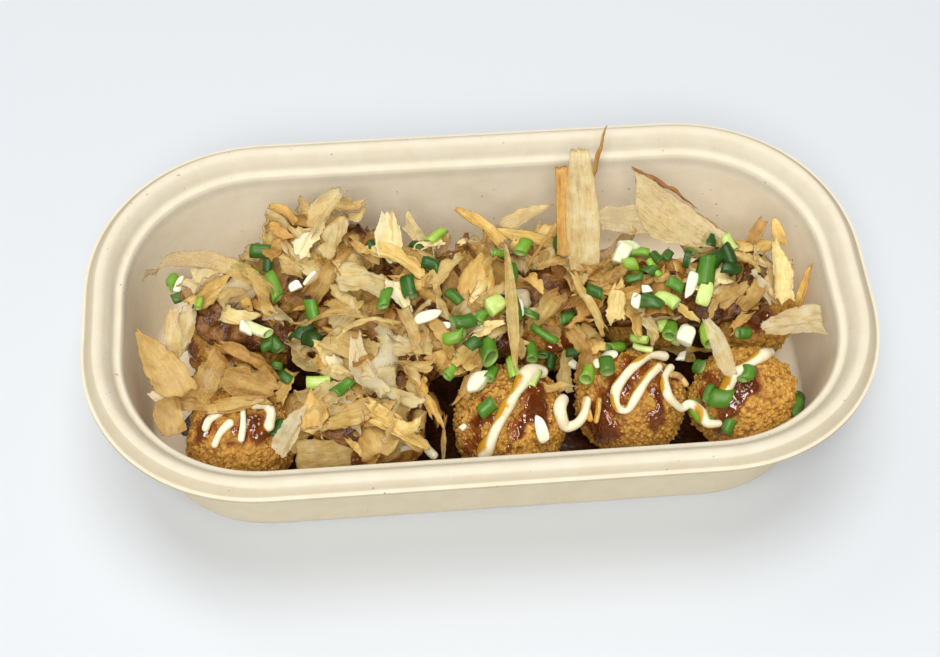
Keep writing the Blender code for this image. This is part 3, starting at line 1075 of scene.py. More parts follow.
def lay(points: np.ndarray, place: Vector, out: Vector, heading: float) -> np.ndarray:
    """Turn a flat shape so that its Z points out and its X follows a plan heading."""
    along = Vector((math.cos(heading), math.sin(heading), 0.0))
    out = out.normalized()
    along = (along - out * along.dot(out)).normalized()
    across = out.cross(along)
    basis = np.array([along, across, out])
    return points @ basis + np.array(place)


@dataclass(frozen=True)
class Layer:
    """One layer of scattered flakes, with lengths in millimetres.

    Gap is the plan distance between neighbours, low and high bound a flake's middle over
    the heap, tilt is the spread of the lean in degrees, scale and tone are those of the
    flakes, and seed picks the scatter.
    """

    name: str
    gap: float
    low: float
    high: float
    tilt: float
    scale: float
    tone: float
    seed: int


@dataclass
class Heap:
    """The heap: a dark bed under layers of random and placed flakes."""

    ground: Ground
    toppings: list
    bed_depth: float = 5.0 * MM
    thickness: float = 0.18 * MM
    spill_low: float = 17.0 * MM
    spills: tuple = (
        (-78.0, -12.0, 11.0), (-88.0, 2.0, 8.0), (-58.0, -16.0, 8.0), (27.0, -8.0, 6.0), (-14.0, -20.0, 6.0),
        (66.0, -8.0, 6.0), (98.0, 4.0, 7.0), (25.0, 28.0, 9.0),
    )
    bare: tuple = ((-78.0, 4.0, 5.5), (17.5, 6.5, 7.0))
    soaked: tuple = ((50.0, 0.0, 17.0), (30.0, 4.0, 12.0))
    soaked_shade: float = 0.62
    topping_reach: float = 5.5 * MM
    topping_rise: float = -1.6 * MM

    def __post_init__(self) -> None:
        """Keep the heap's own surface apart."""
        self.cover = Ground(["flake_heap"]).tree

    def bed(self, look: bpy.types.Material) -> bpy.types.Object:
        """Sink a copy of the heap's solid and roughen it."""
        bm = bmesh.new()
        bm.from_mesh(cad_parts["flake_heap"].data)
        bmesh.ops.remove_doubles(bm, verts=bm.verts, dist=1e-5)
        for _ in range(2):
            bmesh.ops.subdivide_edges(bm, edges=bm.edges, cuts=1, use_grid_fill=True)
        every_way = {"use_axis_x": True, "use_axis_y": True, "use_axis_z": True}
        for _ in range(2):
            bmesh.ops.smooth_vert(bm, verts=bm.verts, factor=0.5, **every_way)
        bm.normal_update()
        normals = np.array([v.normal for v in bm.verts], float)
        places = places_of(bm)
        piece = to_piece("heap_bed", bm, look)
        relief = 0.9 * MM * swell(places, 5.0 * MM, 71, 24) + 0.4 * MM * swell(places, 2.2 * MM, 72, 24)
        inward = np.where(normals[:, 2] > 0.05, self.bed_depth, 0.2 * MM)
        places = places - normals * 0.6 * MM
        places[:, 2] -= inward
        places[:, 2] += np.where(normals[:, 2] > 0.05, relief, 0.0)
        move_to(piece.data, places)
        return publish(piece, Slot.FLAKES, "flake_heap")

    def crowded(self, x: float, y: float, reach: float) -> bool:
        """Whether a topping lies close to a plan place."""
        return any(math.hypot(x - tx, y - ty) < reach for tx, ty in self.toppings)

    def scatter(self, layer: Layer, look: bpy.types.Material) -> bpy.types.Object:
        """Scatter one layer of flakes over the heap."""
        gap = layer.gap * MM
        rng = np.random.default_rng(layer.seed)
        sheet = Sheet(12, 6)
        crowd = Crowd(layer.name, sheet.shape)
        low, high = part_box("flake_heap")
        for gx in np.arange(low.x, high.x, gap):
            for gy in np.arange(low.y, high.y, gap):
                x, y = gx + rng.uniform(-0.5, 0.5) * gap, gy + rng.uniform(-0.5, 0.5) * gap
                if self.within(self.bare, x, y):
                    continue
                cut = self.random_cut(rng, layer.scale)
                heading = rng.uniform(0.0, 2 * math.pi)
                lean = np.radians(rng.normal(0.0, layer.tilt, 2))
                rise = rng.uniform(layer.low * MM, layer.high * MM)
                shade = float(np.clip(rng.normal(layer.tone, 0.19), 0.12, 1.0))
                if self.within(self.soaked, x, y):
                    shade *= self.soaked_shade
                sheer = rng.choice((0.0, 0.0, 0.15, 0.35))
                place, out = self.ground.drop(x, y)
                if self.within(self.spills, x, y):
                    place, out = self.ground.level(x, y, 6.0 * MM), self.ground.slope(x, y, 5.0 * MM)
                    if place.z < self.spill_low:
                        continue
                elif place is None or out.z < 0.12 or not self.on_heap(x, y):
                    continue
                if self.crowded(x, y, self.topping_reach):
                    rise = min(rise, self.topping_rise)
                    lean = lean * 0.4
                points, rim, flat = sheet.form(cut, rng)
                out = (out + UP * 0.6).normalized()
                out = (out + Vector((math.tan(lean[0]), math.tan(lean[1]), 0.0)) * 0.9).normalized()
                points = lay(points, place + UP * rise, out, heading)
                burn = rng.choice((0.2, 0.6, 1.0))
                crowd.put(points, tone=shade, rim=rim, flat=flat, burn=burn, sheer=math.sqrt(sheer))
        return publish_sheets(crowd, look, Slot.FLAKES, self.thickness)

    @staticmethod
    def within(circles: tuple, x: float, y: float) -> bool:
        """Whether a plan place lies in one of some circles given in millimetres."""
        return any(math.hypot(x - cx * MM, y - cy * MM) < reach * MM for cx, cy, reach in circles)

    def on_heap(self, x: float, y: float) -> bool:
        """Whether the top surface at a plan place belongs to the heap."""
        place, _ = self.ground.drop(x, y)
        return place is not None and self.cover.ray_cast(Vector((x, y, ABOVE)), -UP)[0] is not None

    @staticmethod
    def random_cut(rng: np.random.Generator, scale: float) -> Cut:
        """Draw the numbers of one flake."""
        strip = rng.random() < 0.20
        length = float(np.clip(rng.lognormal(math.log(13.5), 0.28), 8.0, 25.0)) * MM * scale
        share = rng.uniform(0.14, 0.28) if strip else rng.uniform(0.42, 0.85)
        rolled = rng.random() < 0.28
        return Cut(
            length=length,
            width=float(np.clip(length * share, 2.0 * MM, 12.0 * MM)),
            taper=rng.uniform(0.35, 1.15),
            bend=rng.normal(-0.3, 0.7) + (2.4 if rolled else 0.0),
            curl=rng.normal(0.0, 0.7),
            cup=rng.normal(0.0, 0.34),
            crease=rng.choice((0.0, 0.0, 0.35, -0.35)),
            twist=rng.normal(0.0, 0.8),
            skew=rng.normal(0.0, 0.45),
            jag=rng.uniform(0.35, 0.80),
            ripple=0.50 * MM,
            points=tuple(rng.choice((0.0, 0.15, 0.40, 0.85), 2)),
            sway=rng.normal(0.0, 0.12),
            kink=rng.normal(0.0, 0.7),
            notch=0.4,
        )


@dataclass
class PlacedFlakes:
    """Flakes of middle size that lie where they are named, in millimetres.

    Each row is x, y, heading in degrees, length, width and tone.
    """

    ground: Ground
    rows: tuple
    lift: tuple = (1.4 * MM, 3.4 * MM)
    thickness: float = 0.20 * MM

    def build(self, name: str, look: bpy.types.Material) -> bpy.types.Object:
        """Lay them all as one piece."""
        sheet = Sheet(18, 8)
        crowd = Crowd(name, sheet.shape)
        rng = np.random.default_rng(404)
        for x, y, heading, length, width, tone in self.rows:
            strip = width < 0.3 * length
            cut = Cut(
                length=length * 1.08 * MM,
                width=width * 1.12 * MM,
                taper=rng.uniform(0.55, 1.1),
                bend=rng.normal(-0.45, 0.45),
                curl=rng.normal(0.0, 0.5),
                cup=rng.normal(0.14, 0.18),
                crease=rng.choice((0.0, 0.0, 0.35)),
                twist=rng.normal(0.0, 0.55),
                skew=rng.normal(0.0, 0.30),
                jag=rng.uniform(0.30, 0.65),
                ripple=0.45 * MM,
                points=tuple(rng.choice((0.0, 0.2, 0.6), 2)),
                sway=rng.normal(0.0, 0.25 if strip else 0.08),
                kink=rng.normal(0.0, 0.5),
                notch=0.5,
            )
            points, rim, flat = sheet.form(cut, rng)
            place = self.ground.level(x * MM, y * MM, BRIDGE) + UP * rng.uniform(*self.lift)
            out = (self.ground.slope(x * MM, y * MM, 4.0 * MM) + UP * 0.9).normalized()
            out = (out + Vector((rng.normal(0, 0.16), rng.normal(-0.14, 0.16), 0.0))).normalized()
            points = lay(points, place, out, math.radians(heading))
            sheer = rng.choice((0.0, 0.15, 0.35))
            burn = rng.choice((0.3, 0.6, 1.0))
            crowd.put(points, tone=tone, rim=rim, flat=flat, burn=burn, sheer=math.sqrt(sheer))
        return publish_sheets(crowd, look, Slot.FLAKES, self.thickness)


@dataclass
class LeaningFlakes:
    """Flakes that lean on the balls or stand up from the heap.

    Each row is x, y, z, heading, lean towards the near side, length, width, tone and sheer.
    """

    rows: tuple
    thickness: float = 0.20 * MM

    def build(self, name: str, look: bpy.types.Material) -> bpy.types.Object:
        """Set them all as one piece."""
        sheet = Sheet(18, 8)
        crowd = Crowd(name, sheet.shape)
        rng = np.random.default_rng(505)
        for x, y, z, heading, lean, length, width, tone, sheer in self.rows:
            cut = Cut(
                length=length * MM,
                width=width * MM,
                taper=rng.uniform(0.6, 1.1),
                bend=rng.normal(-0.5, 0.4),
                curl=rng.normal(0.0, 0.4),
                cup=rng.normal(0.2, 0.15),
                twist=rng.normal(0.0, 0.35),
                skew=rng.normal(0.0, 0.25),
                jag=rng.uniform(0.25, 0.50),
                ripple=0.45 * MM,
                points=tuple(rng.choice((0.0, 0.2, 0.6), 2)),
                kink=rng.normal(0.0, 0.4),
                notch=0.5,
            )
            points, rim, flat = sheet.form(cut, rng)
            tilt = math.radians(lean)
            out = Vector((rng.normal(0.0, 0.08), -math.sin(tilt), math.cos(tilt)))
            points = lay(points, Vector((x, y, z)) * MM, out, math.radians(heading))
            burn = rng.choice((0.4, 0.8))
            crowd.put(points, tone=tone, rim=rim, flat=flat, burn=burn, sheer=math.sqrt(sheer))
        return publish_sheets(crowd, look, Slot.FLAKES, self.thickness)


@dataclass
class LargeFlake:
    """One large flake that stands for its own node.

    Foot and tip are shares of the node's box; width is in millimetres.
    """

    node: str
    foot: tuple
    tip: tuple
    width: float
    taper: float
    bulge: float
    turn: float
    tone: float
    burn: float = 0.6
    crease: float = 0.0
    cup: float = 0.18
    jag: float = 0.22
    twist: float = 0.0
    sheer: float = 0.0
    points: tuple = (0.3, 0.3)
    straight: float = 0.0
    part: str = "sheet"
    thickness: float = 0.20 * MM

    def build(self, look: bpy.types.Material) -> bpy.types.Object:
        """Make the flake from its foot to its tip."""
        low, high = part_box(self.node)
        start, end = (Vector([a + (b - a) * s for a, b, s in zip(low, high, share)])
                      for share in (self.foot, self.tip))
        run = end - start
        side = run.cross(UP).cross(run)
        side = run.cross(side).normalized()
        out = side.cross(run).normalized()
        swing = math.radians(self.turn)
        lift = out * math.cos(swing) - side * math.sin(swing)
        along = run.normalized()
        across = lift.cross(along)
        rng = np.random.default_rng(seed_from(self.node + self.part))
        sheet = Sheet(30, 12)
        arch = run.length * (1 + 2.6 * self.bulge**2)
        cut = Cut(
            length=arch, width=self.width * MM, taper=self.taper, bend=-8 * self.bulge,
            cup=self.cup, crease=self.crease, twist=self.twist, skew=rng.normal(0.0, 0.08), jag=self.jag,
            ripple=0.35 * MM, points=self.points, straight=self.straight,
        )
        points, rim, flat = sheet.form(cut, rng)
        burn = self.burn * np.where(sheet.v > 0.2, 1.0, 1.0 - self.straight)
        middle = (start + end) / 2 + lift * (self.bulge * run.length * 0.6)
        places = points @ np.array([along, across, lift]) + np.array(middle)
        crowd = Crowd(f"{self.node}_{self.part}", sheet.shape)
        crowd.put(places, tone=self.tone, rim=rim, flat=flat, burn=burn, sheer=math.sqrt(self.sheer))
        nodes = (self.node,) if self.part == "sheet" else ()
        return publish_sheets(crowd, look, Slot.FLAKES, self.thickness, *nodes)


# --- mayonnaise ------------------------------------------------------------------


@dataclass
class Strand:
    """One strand of mayonnaise over the balls.

    Points are in plan, in millimetres, from end to end.
    """

    name: str
    radius: float
    points: tuple
    nodes: tuple = ()
    swelling: tuple = ()
    amber: float = 0.8
    sides: int = 14
    low: float = 26.0 * MM

    def build(self, balls: list, look: bpy.types.Material) -> bpy.types.Object:
        """Sweep the strand along its route."""
        route = smooth_route([Vector(p) * MM for p in self.points], 8)
        plan = np.array([tuple(p) for p in route])
        steps = np.linalg.norm(np.diff(plan, axis=0), axis=1)
        length = np.concatenate([[0.0], np.cumsum(steps)])
        share = length / length[-1]
        along = np.outer(length, (1.0, 0.0, 0.0))
        thick = self.radius * MM * (1 + 0.10 * swell(along, 9 * MM, seed_from(self.name)))
        for place, gain, reach in self.swelling:
            thick = thick * (1 + gain * np.exp(-((share - place) / reach) ** 2))
        heights = np.array([self.height(balls, x, y, r) for (x, y), r in zip(plan, thick)])
        heights = np.convolve(np.pad(heights, 2, mode="edge"), np.full(5, 0.2), "valid")
        spine = np.column_stack([plan, heights])
        return self.skin(spine, thick, look)

    def height(self, balls: list, x: float, y: float, radius: float) -> float:
        """Height of the strand's middle over the balls at one plan place."""
        top = self.low
        for ball in balls:
            reach = float(ball.half[0]) + radius * 0.72
            rest = reach**2 - (x - ball.centre[0]) ** 2 - (y - ball.centre[1]) ** 2
            if rest > 0.0:
                top = max(top, float(ball.centre[2]) + math.sqrt(rest))
        return top

    def skin(self, spine: np.ndarray, thick: np.ndarray, look: bpy.types.Material) -> bpy.types.Object:
        """Round rings along the spine, closed by rounded ends."""
        tangents = np.gradient(spine, axis=0)
        tangents /= np.linalg.norm(tangents, axis=1, keepdims=True)
        cap = np.linspace(0.12, 1.45, 5)
        rows = [(spine[0] - tangents[0] * thick[0] * math.cos(a), thick[0] * math.sin(a), 0) for a in cap]
        rows += [(spine[i], thick[i], i) for i in range(len(spine))]
        last = len(spine) - 1
        rows += [(spine[-1] + tangents[-1] * thick[-1] * math.cos(a), thick[-1] * math.sin(a), last)
                 for a in cap[::-1]]
        turn = np.linspace(0.0, 2 * math.pi, self.sides, endpoint=False)
        rings, tint = [], []
        for middle, radius, index in rows:
            across = np.cross(tangents[index], (0.0, 0.0, 1.0))
            across /= np.linalg.norm(across)
            lift = np.cross(across, tangents[index])
            spokes = np.outer(np.cos(turn), across) + np.outer(np.sin(turn), lift) * 0.92
            rings.append(middle + spokes * radius)
            tint.append(spokes @ np.array((-0.80, 0.45, 0.20)))
        bm = sweep(rings, True)
        piece = to_piece(self.name, bm, look)
        flow = swell(np.concatenate(rings), 11 * MM, len(self.points) + 3)
        amber = (np.concatenate(tint) + 0.40 * flow - 0.10).clip(0.0, 1.0) * self.amber
        amber += max(0.0, self.amber - 1.0)
        carry(piece.data, "amber", amber)
        return publish(piece, Slot.MAYO, *self.nodes)


# --- spring onion ----------------------------------------------------------------


class Onion:
    """Cut spring onion: tubes, rings, leaves and white pieces.

    Rows are x, y, heading in degrees, length, width and tone, with lengths in millimetres.
    """

    leaf_thickness: float = 0.55 * MM

    def __init__(self, ground: Ground, lift: float) -> None:
        """Keep the bed that the pieces lie on.

        Args:
            ground: the bed.
            lift: how far above it a piece's underside lies.
        """
        self.ground = ground
        self.lift = lift
        self.base = 0.0

    def spot(self, x: float, y: float, height: float) -> tuple:
        """Middle and outward direction of a piece that lies at a plan place."""
        place = self.ground.level(x * MM, y * MM, BRIDGE)
        place.z = max(place.z, self.base * MM)
        slope = self.ground.slope(x * MM, y * MM, 3.0 * MM)
        out = (slope + UP * 0.7).normalized()
        return place + UP * (self.lift + height), out

    def tubes(self, name: str, rows: tuple, look: bpy.types.Material) -> bpy.types.Object:
        """Short hollow tubes, some flattened, with their cuts a little oblique."""
        bm = bmesh.new()
        profile = [(-1.0, 0.80), (-0.96, 1.0), (-0.5, 1.0), (0.5, 1.0), (0.96, 1.0), (1.0, 0.80), (0.5, 0.74),
                   (-0.5, 0.74)]
        corners = [bm.verts.new((x, 0.0, radius)) for x, radius in profile]
        edges = [bm.edges.new(pair) for pair in zip(corners, corners[1:] + corners[:1])]
        bmesh.ops.spin(bm, geom=corners + edges, axis=(1.0, 0.0, 0.0), cent=(0.0, 0.0, 0.0),
                       angle=2 * math.pi, steps=18, use_merge=True)
        bmesh.ops.remove_doubles(bm, verts=bm.verts, dist=1e-4)
        bmesh.ops.recalc_face_normals(bm, faces=bm.faces)
        crowd = Crowd(name, bm)
        x, y, z = crowd.base.T
        span = np.hypot(y, z)
        inside = (span < 0.85).astype(float)
        turn = np.arctan2(z, y)
        rng = np.random.default_rng(len(rows))
        for px, py, heading, length, width, tone in rows:
            half = width / 2 * MM
            flatten = rng.uniform(0.72, 1.0)
            pinch = 1 + 0.06 * np.cos(2 * turn + rng.uniform(0, 6))
            pinch += 0.03 * np.cos(3 * turn + rng.uniform(0, 6))
            arc = rng.normal(0.0, 0.10) * (x**2) * length * MM
            shear = rng.normal(0.0, 0.22)
            points = np.column_stack([
                x * length / 2 * MM + shear * y * half,
                y * half * pinch + arc,
                z * half * pinch * flatten,
            ])
            place, out = self.spot(px, py, half * flatten)
            out = (out + Vector((rng.normal(0, 0.22), rng.normal(-0.08, 0.22), 0.0))).normalized()
            flat = np.column_stack([x * length / 2 * MM, turn * half, np.full(len(x), px * 0.01)])
            crowd.put(lay(points, place, out, math.radians(heading)), tone=tone, inside=inside, flat=flat)
        return publish(crowd.build(look), Slot.ONION)

    def leaves(self, name: str, rows: tuple, look: bpy.types.Material) -> bpy.types.Object:
        """Cut strips of leaf, curled across their width."""
        sheet = Sheet(8, 6)
        crowd = Crowd(name, sheet.shape)
        rng = np.random.default_rng(len(rows) + 50)
        for px, py, heading, length, width, tone in rows:
            cut = Cut(length=length * MM, width=width * 1.25 * MM, taper=rng.uniform(0.7, 1.1),
                      bend=rng.normal(-0.3, 0.4), cup=-rng.uniform(0.5, 0.9), jag=0.08, ripple=0.12 * MM,
                      twist=rng.normal(0.0, 0.3), skew=rng.normal(0.0, 0.3))
            points, _, flat = sheet.form(cut, rng)
            place, out = self.spot(px, py, width * 0.25 * MM)
            out = (out + Vector((rng.normal(0, 0.2), rng.normal(-0.1, 0.2), 0.0))).normalized()
            crowd.put(lay(points, place, out, math.radians(heading)), tone=tone, inside=0.0, flat=flat)
        return publish_sheets(crowd, look, Slot.ONION, self.leaf_thickness)

    def chunks(self, name: str, rows: tuple, look: bpy.types.Material) -> bpy.types.Object:
        """Rounded or pointed pieces of the white stalk."""
        bm = bmesh.new()
        bmesh.ops.create_icosphere(bm, subdivisions=3, radius=1.0)
        crowd = Crowd(name, bm)
        rng = np.random.default_rng(len(rows) + 90)
        x, y, z = crowd.base.T
        for px, py, heading, length, width, tone in rows:
            pointed = length > 1.8 * width
            narrowing = 1 + rng.uniform(0.15, 0.50) * rng.choice((-1, 1)) * x
            power = 0.72 if pointed else 0.50
            thick = width * (0.42 if pointed else 0.70)
            wide = np.sign(y) * np.abs(y) ** power
            points = np.column_stack([
                np.sign(x) * np.abs(x) ** power * length / 2 + rng.normal(0.0, 0.18) * wide * width,
                wide * width / 2 * narrowing + rng.normal(0.0, 0.12) * width * x**2,
                np.sign(z) * np.abs(z) ** power * thick / 2 * narrowing,
            ]) * MM
            points *= 1 + 0.04 * swell(crowd.base, 1.1, int(px * 7 + 900))[:, None]
            place, out = self.spot(px, py, thick / 2 * MM)
            out = (out + Vector((rng.normal(0, 0.15), rng.normal(-0.15, 0.15), 0.0))).normalized()
            flat = points + (0, 0, px * 0.01)
            crowd.put(lay(points, place, out, math.radians(heading)), tone=tone, inside=0.0, flat=flat)
        return publish(crowd.build(look), Slot.ONION)


# --- studio ----------------------------------------------------------------------


@dataclass
class Studio:
    """Floor, soft light and camera."""

    target: tuple = (-0.0022, 0.0060, 0.0200)
    distance: float = 0.5502
    elevation: float = 55.5
    azimuth: float = -6.41
    roll: float = 1.75
    lens: float = 66.27
    sky: tuple = (0.965, 0.985, 1.0)
    sky_strength: float = 0.23
    key_power: float = 3.5
    fill_power: float = 30.5
    top_power: float = 18.6

    def build(self) -> None:
        """Set the stage."""
        self.floor()
        self.light()
        self.camera()
        bpy.context.scene.view_settings.view_transform = "Standard"

    def floor(self) -> None:
        """A wide pale ground just under the tray."""
        bm = bmesh.new()
        bmesh.ops.create_grid(bm, x_segments=4, y_segments=4, size=2.5)
        ground = to_piece("floor", bm, FloorFinish().make())

    def light(self) -> None:
        """An even sky and three soft lamps: behind on the left, in front and overhead."""
        world = bpy.data.worlds.new("sky")
        world.use_nodes = True
        back = world.node_tree.nodes["Background"]
        back.inputs["Color"].default_value = (*self.sky, 1.0)
        back.inputs["Strength"].default_value = self.sky_strength
        bpy.context.scene.world = world
        world.cycles_visibility.glossy = False
        self.lamp("key", (-0.75, 1.05, 1.65), 0.6, self.key_power, (1.0, 0.985, 0.96))
        self.lamp("fill", (-0.25, -1.18, 1.60), 1.1, self.fill_power, (1.0, 0.99, 0.97))
        self.lamp("top", (0.0, 0.25, 1.90), 1.2, self.top_power, (1.0, 0.99, 0.97))

    def lamp(self, name: str, place: tuple, size: float, power: float, colour: tuple) -> None:
        """A round soft lamp aimed at the food."""
        light = bpy.data.lights.new(name, "AREA")
        light.shape = "DISK"
        light.size = size
        light.energy = power
        light.color = colour
        lamp = bpy.data.objects.new(name, light)
        lamp.location = place
        lamp.rotation_mode = "QUATERNION"
        lamp.rotation_quaternion = (Vector(self.target) - lamp.location).to_track_quat("-Z", "Y")
        bpy.context.scene.collection.objects.link(lamp)

    def camera(self) -> None:
        """The camera looks down on the near long side."""
        azimuth, roll = math.radians(self.azimuth), math.radians(self.roll)
        back = aim(self.azimuth, self.elevation)
        level = Vector((math.cos(azimuth), math.sin(azimuth), 0.0))
        rise = back.cross(level)
        right = level * math.cos(roll) + rise * math.sin(roll)
        upward = rise * math.cos(roll) - level * math.sin(roll)
        lens = bpy.data.cameras.new("view")
        lens.lens = self.lens
        lens.sensor_width = 36.0
        camera = bpy.data.objects.new("view", lens)
        turn = Matrix((right, upward, back)).transposed().to_4x4()
        camera.matrix_world = Matrix.Translation(Vector(self.target) + back * self.distance) @ turn
        bpy.context.scene.collection.objects.link(camera)
        bpy.context.scene.camera = camera


# --- what lies where -------------------------------------------------------------

# Sauce on each ball: azimuth from -Y towards +X, elevation, and size.
SAUCE = {
    "ball_1": ((-74, 42, 0.9), (-80, 58, 0.9), (4, 60, 0.6), (25, 69, 0.7), (41, 50, 0.75), (57, 66, 0.8)),
    "ball_2": ((-8, 12, 1.2), (18, 8, 1.0), (45, -10, 1.0), (0, 50, 1.5), (20, 80, 1.8)),
    "ball_3": (
        (-49, 9, 0.7), (-48, 29, 0.7), (-55, 47, 0.8), (-69, 60, 1.0), (-1, 38, 0.55), (10, 50, 0.75),
        (30, 60, 0.95), (62, 62, 1.0), (55, 48, 0.7), (120, 60, 1.4),
    ),
    "ball_4": (
        (-41, 3, 0.9), (-31, 25, 1.0), (-57, 13, 1.1), (-57, 34, 1.2), (-62, 53, 1.2), (-73, 73, 1.2),
        (155, 74, 1.3), (101, 39, 0.9), (63, 55, 0.8), (45, 58, 0.8), (28, 50, 0.7), (15, 40, 0.6),
        (24, 28, 0.55),
    ),
    "ball_5": (
        (-41, 17, 0.7), (-39, 37, 0.8), (-39, 54, 0.9), (-39, 72, 1.0), (-75, 85, 1.2), (-85, 40, 1.2),
    ),
    "ball_6": ((-47, 75, 1.0), (-176, 83, 1.2), (-70, 16, 1.2), (92, 39, 1.2), (-20, 40, 1.2)),
    "ball_7": ((0, 80, 2.0), (0, 40, 1.6), (90, 50, 1.5)),
    "ball_8": (
        (-137, 56, 1.1), (169, 60, 1.1), (-44, 74, 0.9), (-75, 87, 1.1), (-71, 68, 0.9), (20, 20, 1.4),
    ),
    "ball_9": ((-60, 60, 2.0), (180, 50, 2.0), (-90, 30, 1.6), (10, 40, 1.4)),
    "ball_10": ((-10, 47, 0.9), (15, 47, 0.9), (36, 32, 0.9), (-157, 56, 1.2)),
}
FRONT_BALLS = ("ball_1", "ball_3", "ball_4", "ball_5")
# Times the sphere is subdivided, and loose crumbs tried, on a front ball and on any other.
FRONT_DETAIL, OTHER_DETAIL = 7, 6
FRONT_CRUMBS, OTHER_CRUMBS = 1800, 250
# How brown a ball is baked, from 0 to 1; a ball not named here has Ball's own value.
BAKE = {"ball_1": 0.85, "ball_3": 0.0, "ball_4": 0.68, "ball_5": 0.22}
# How far above the bed the undersides of cut tubes, and of leaves and white pieces, lie.
TUBE_LIFT = 1.6 * MM
LEAF_LIFT = 2.6 * MM
# The low layer's dark tone is partly sauce soaking and partly painted shade deep in the heap.
HEAP_LAYERS = (
    Layer("flakes_low", 9.0, -4.4, -2.2, 12.0, 1.1, 0.38, 1),
    Layer("flakes_middle", 9.8, -2.2, 0.2, 26.0, 1.12, 0.66, 2),
    Layer("flakes_high", 12.5, -0.4, 1.8, 34.0, 0.92, 0.80, 3),
)

# Mayonnaise: node, radius, plan points in millimetres, swellings along it.
STRANDS = (
    ("mayo_1", 1.9, ((17.0, -20.4), (12.8, -22.8), (7.8, -30.5), (3.7, -36.1), (0.0, -41.2), (-2.4, -43.8)),
     ((0.12, 0.35, 0.14), (0.97, 0.30, 0.06)), 1.1),
    ("mayo_2", 1.4, ((56.0, -15.0), (51.0, -17.0), (44.0, -23.2), (38.8, -29.0), (38.5, -33.5), (41.5, -35.0),
                     (44.5, -31.8), (48.5, -26.5), (52.5, -22.2)), ((0.5, 0.2, 0.1),), 1.0),
    ("mayo_3", 1.4, ((57.0, -20.5), (54.0, -26.0), (54.5, -31.0), (58.5, -32.5), (62.0, -31.0), (65.0, -34.0),
                     (66.0, -38.0), (69.5, -38.5)), (), 0.9),
    ("mayo_4", 1.8,
     ((88.0, -18.4), (82.5, -22.5), (77.3, -26.0), (74.2, -28.1), (72.4, -30.5), (70.7, -33.5)),
     ((0.0, -0.35, 0.12), (0.3, 0.15, 0.15)), 1.1),
    ("mayo_5", 1.4,
     ((22.8, -28.6), (21.4, -32.6), (22.8, -36.0), (26.2, -35.5), (29.0, -32.5), (30.4, -28.0)),
     ((0.12, 0.75, 0.22),), 0.6),
    ("mayo_6", 1.1, ((-84.5, -32.0), (-83.2, -30.0), (-79.8, -28.6)), (), 0.2),
    ("mayo_7", 1.2, ((-82.0, -37.2), (-80.0, -34.6), (-77.2, -32.6)), (), 0.2),
    ("mayo_8", 1.0, ((-73.2, -28.5), (-73.2, -33.0), (-74.0, -37.0)), (), 0.3),
    ("mayo_9", 1.6, ((-69.8, -26.5), (-66.5, -26.2), (-65.0, -28.8), (-65.8, -33.0)), (), 1.0),
)

# Spring onion in millimetres: x, y, heading, length, width, tone.
TUBES = (
    (-66, 21, -10, 6.3, 4.6, 0.30), (-64, 15, 85, 4.6, 2.9, 0.18), (-69, 12, -10, 5.1, 3.2, 0.52),
    (-62, 6, -70, 8.6, 4.4, 0.55), (-51, -2, 85, 6.8, 4.2, 0.50),
    (-85, 4, 75, 3.6, 2.6, 0.75), (-68, -6, -35, 8.4, 3.6, 0.93), (-65, -8, 20, 4.0, 3.9, 0.35),
    (-63, -8, -50, 4.5, 3.9, 0.30), (-61, -13, -40, 5.4, 3.4, 0.35), (-50, -28, -5, 7.2, 4.0, 0.85),
    (-12, 24, 35, 6.5, 3.4, 0.78), (-14, 11, -30, 5.8, 4.0, 0.22), (-22, 2, 95, 7.0, 4.4, 0.25),
    (-29, -1, 75, 6.4, 3.8, 0.50), (15, 18, 60, 5.4, 4.0, 0.60), (7, 14, 0, 4.5, 2.6, 0.55),
    (26, 18, -75, 7.0, 3.3, 0.26), (11, 8, 85, 6.6, 2.8, 0.38), (-6, -11, 10, 6.6, 4.4, 0.33),
    (-9, -15, 5, 6.4, 4.0, 0.60), (-1, -9, 60, 4.0, 3.3, 0.52), (27, -2, 15, 4.6, 3.6, 0.36),
    (19, -8, -40, 9.4, 2.6, 0.48), (35, -1, -35, 5.4, 3.9, 0.26), (1, -18, -80, 7.6, 5.6, 0.45),
    (1, -23, 75, 5.6, 4.0, 0.50), (-11, -23, 50, 4.2, 3.7, 0.55), (15, -14, 80, 7.2, 3.9, 0.48),
    (29, -8, -5, 4.4, 3.0, 0.22), (48, 4, 0, 5.4, 3.2, 0.33), (57, -4, -35, 7.4, 3.8, 0.84),
    (41, -12, 30, 5.6, 3.9, 0.55), (37, -12, 30, 4.4, 2.5, 0.75), (48, -12, -30, 5.6, 2.6, 0.82),
    (49, -14, -30, 6.6, 2.6, 0.90), (32, -20, 80, 5.8, 4.4, 0.62), (37, -21, 88, 5.4, 4.8, 0.36),
    (79, 15, -75, 6.4, 3.6, 0.88), (51, 15, -5, 6.4, 3.4, 0.60), (47, 9, -5, 4.8, 4.0, 0.70),
    (54, 6, -60, 6.4, 2.4, 0.72), (60, 0, -35, 5.3, 3.4, 0.45), (58, -10, 75, 6.0, 4.4, 0.55),
    (69, -12, 90, 8.2, 5.0, 0.76), (81, -12, 20, 4.3, 4.2, 0.35), (79, -29, 60, 5.0, 3.9, 0.45),
    (67, -30, 60, 5.8, 2.9, 0.42), (70, -34, -10, 6.4, 5.6, 0.42), (64, -34, -65, 9.0, 4.2, 0.60),
    (72, -40, 60, 4.8, 3.6, 0.40), (-1, -34, 30, 5.6, 4.6, 0.42),
)
RINGS = (
    (15, -5, 80, 1.5, 5.6, 0.35), (19, -10, 60, 1.4, 4.0, 0.30), (65, 9, -30, 2.0, 5.4, 0.20),
    (66, -20, -30, 2.4, 4.4, 0.30), (-63, -11, 70, 1.8, 3.6, 0.40),
)
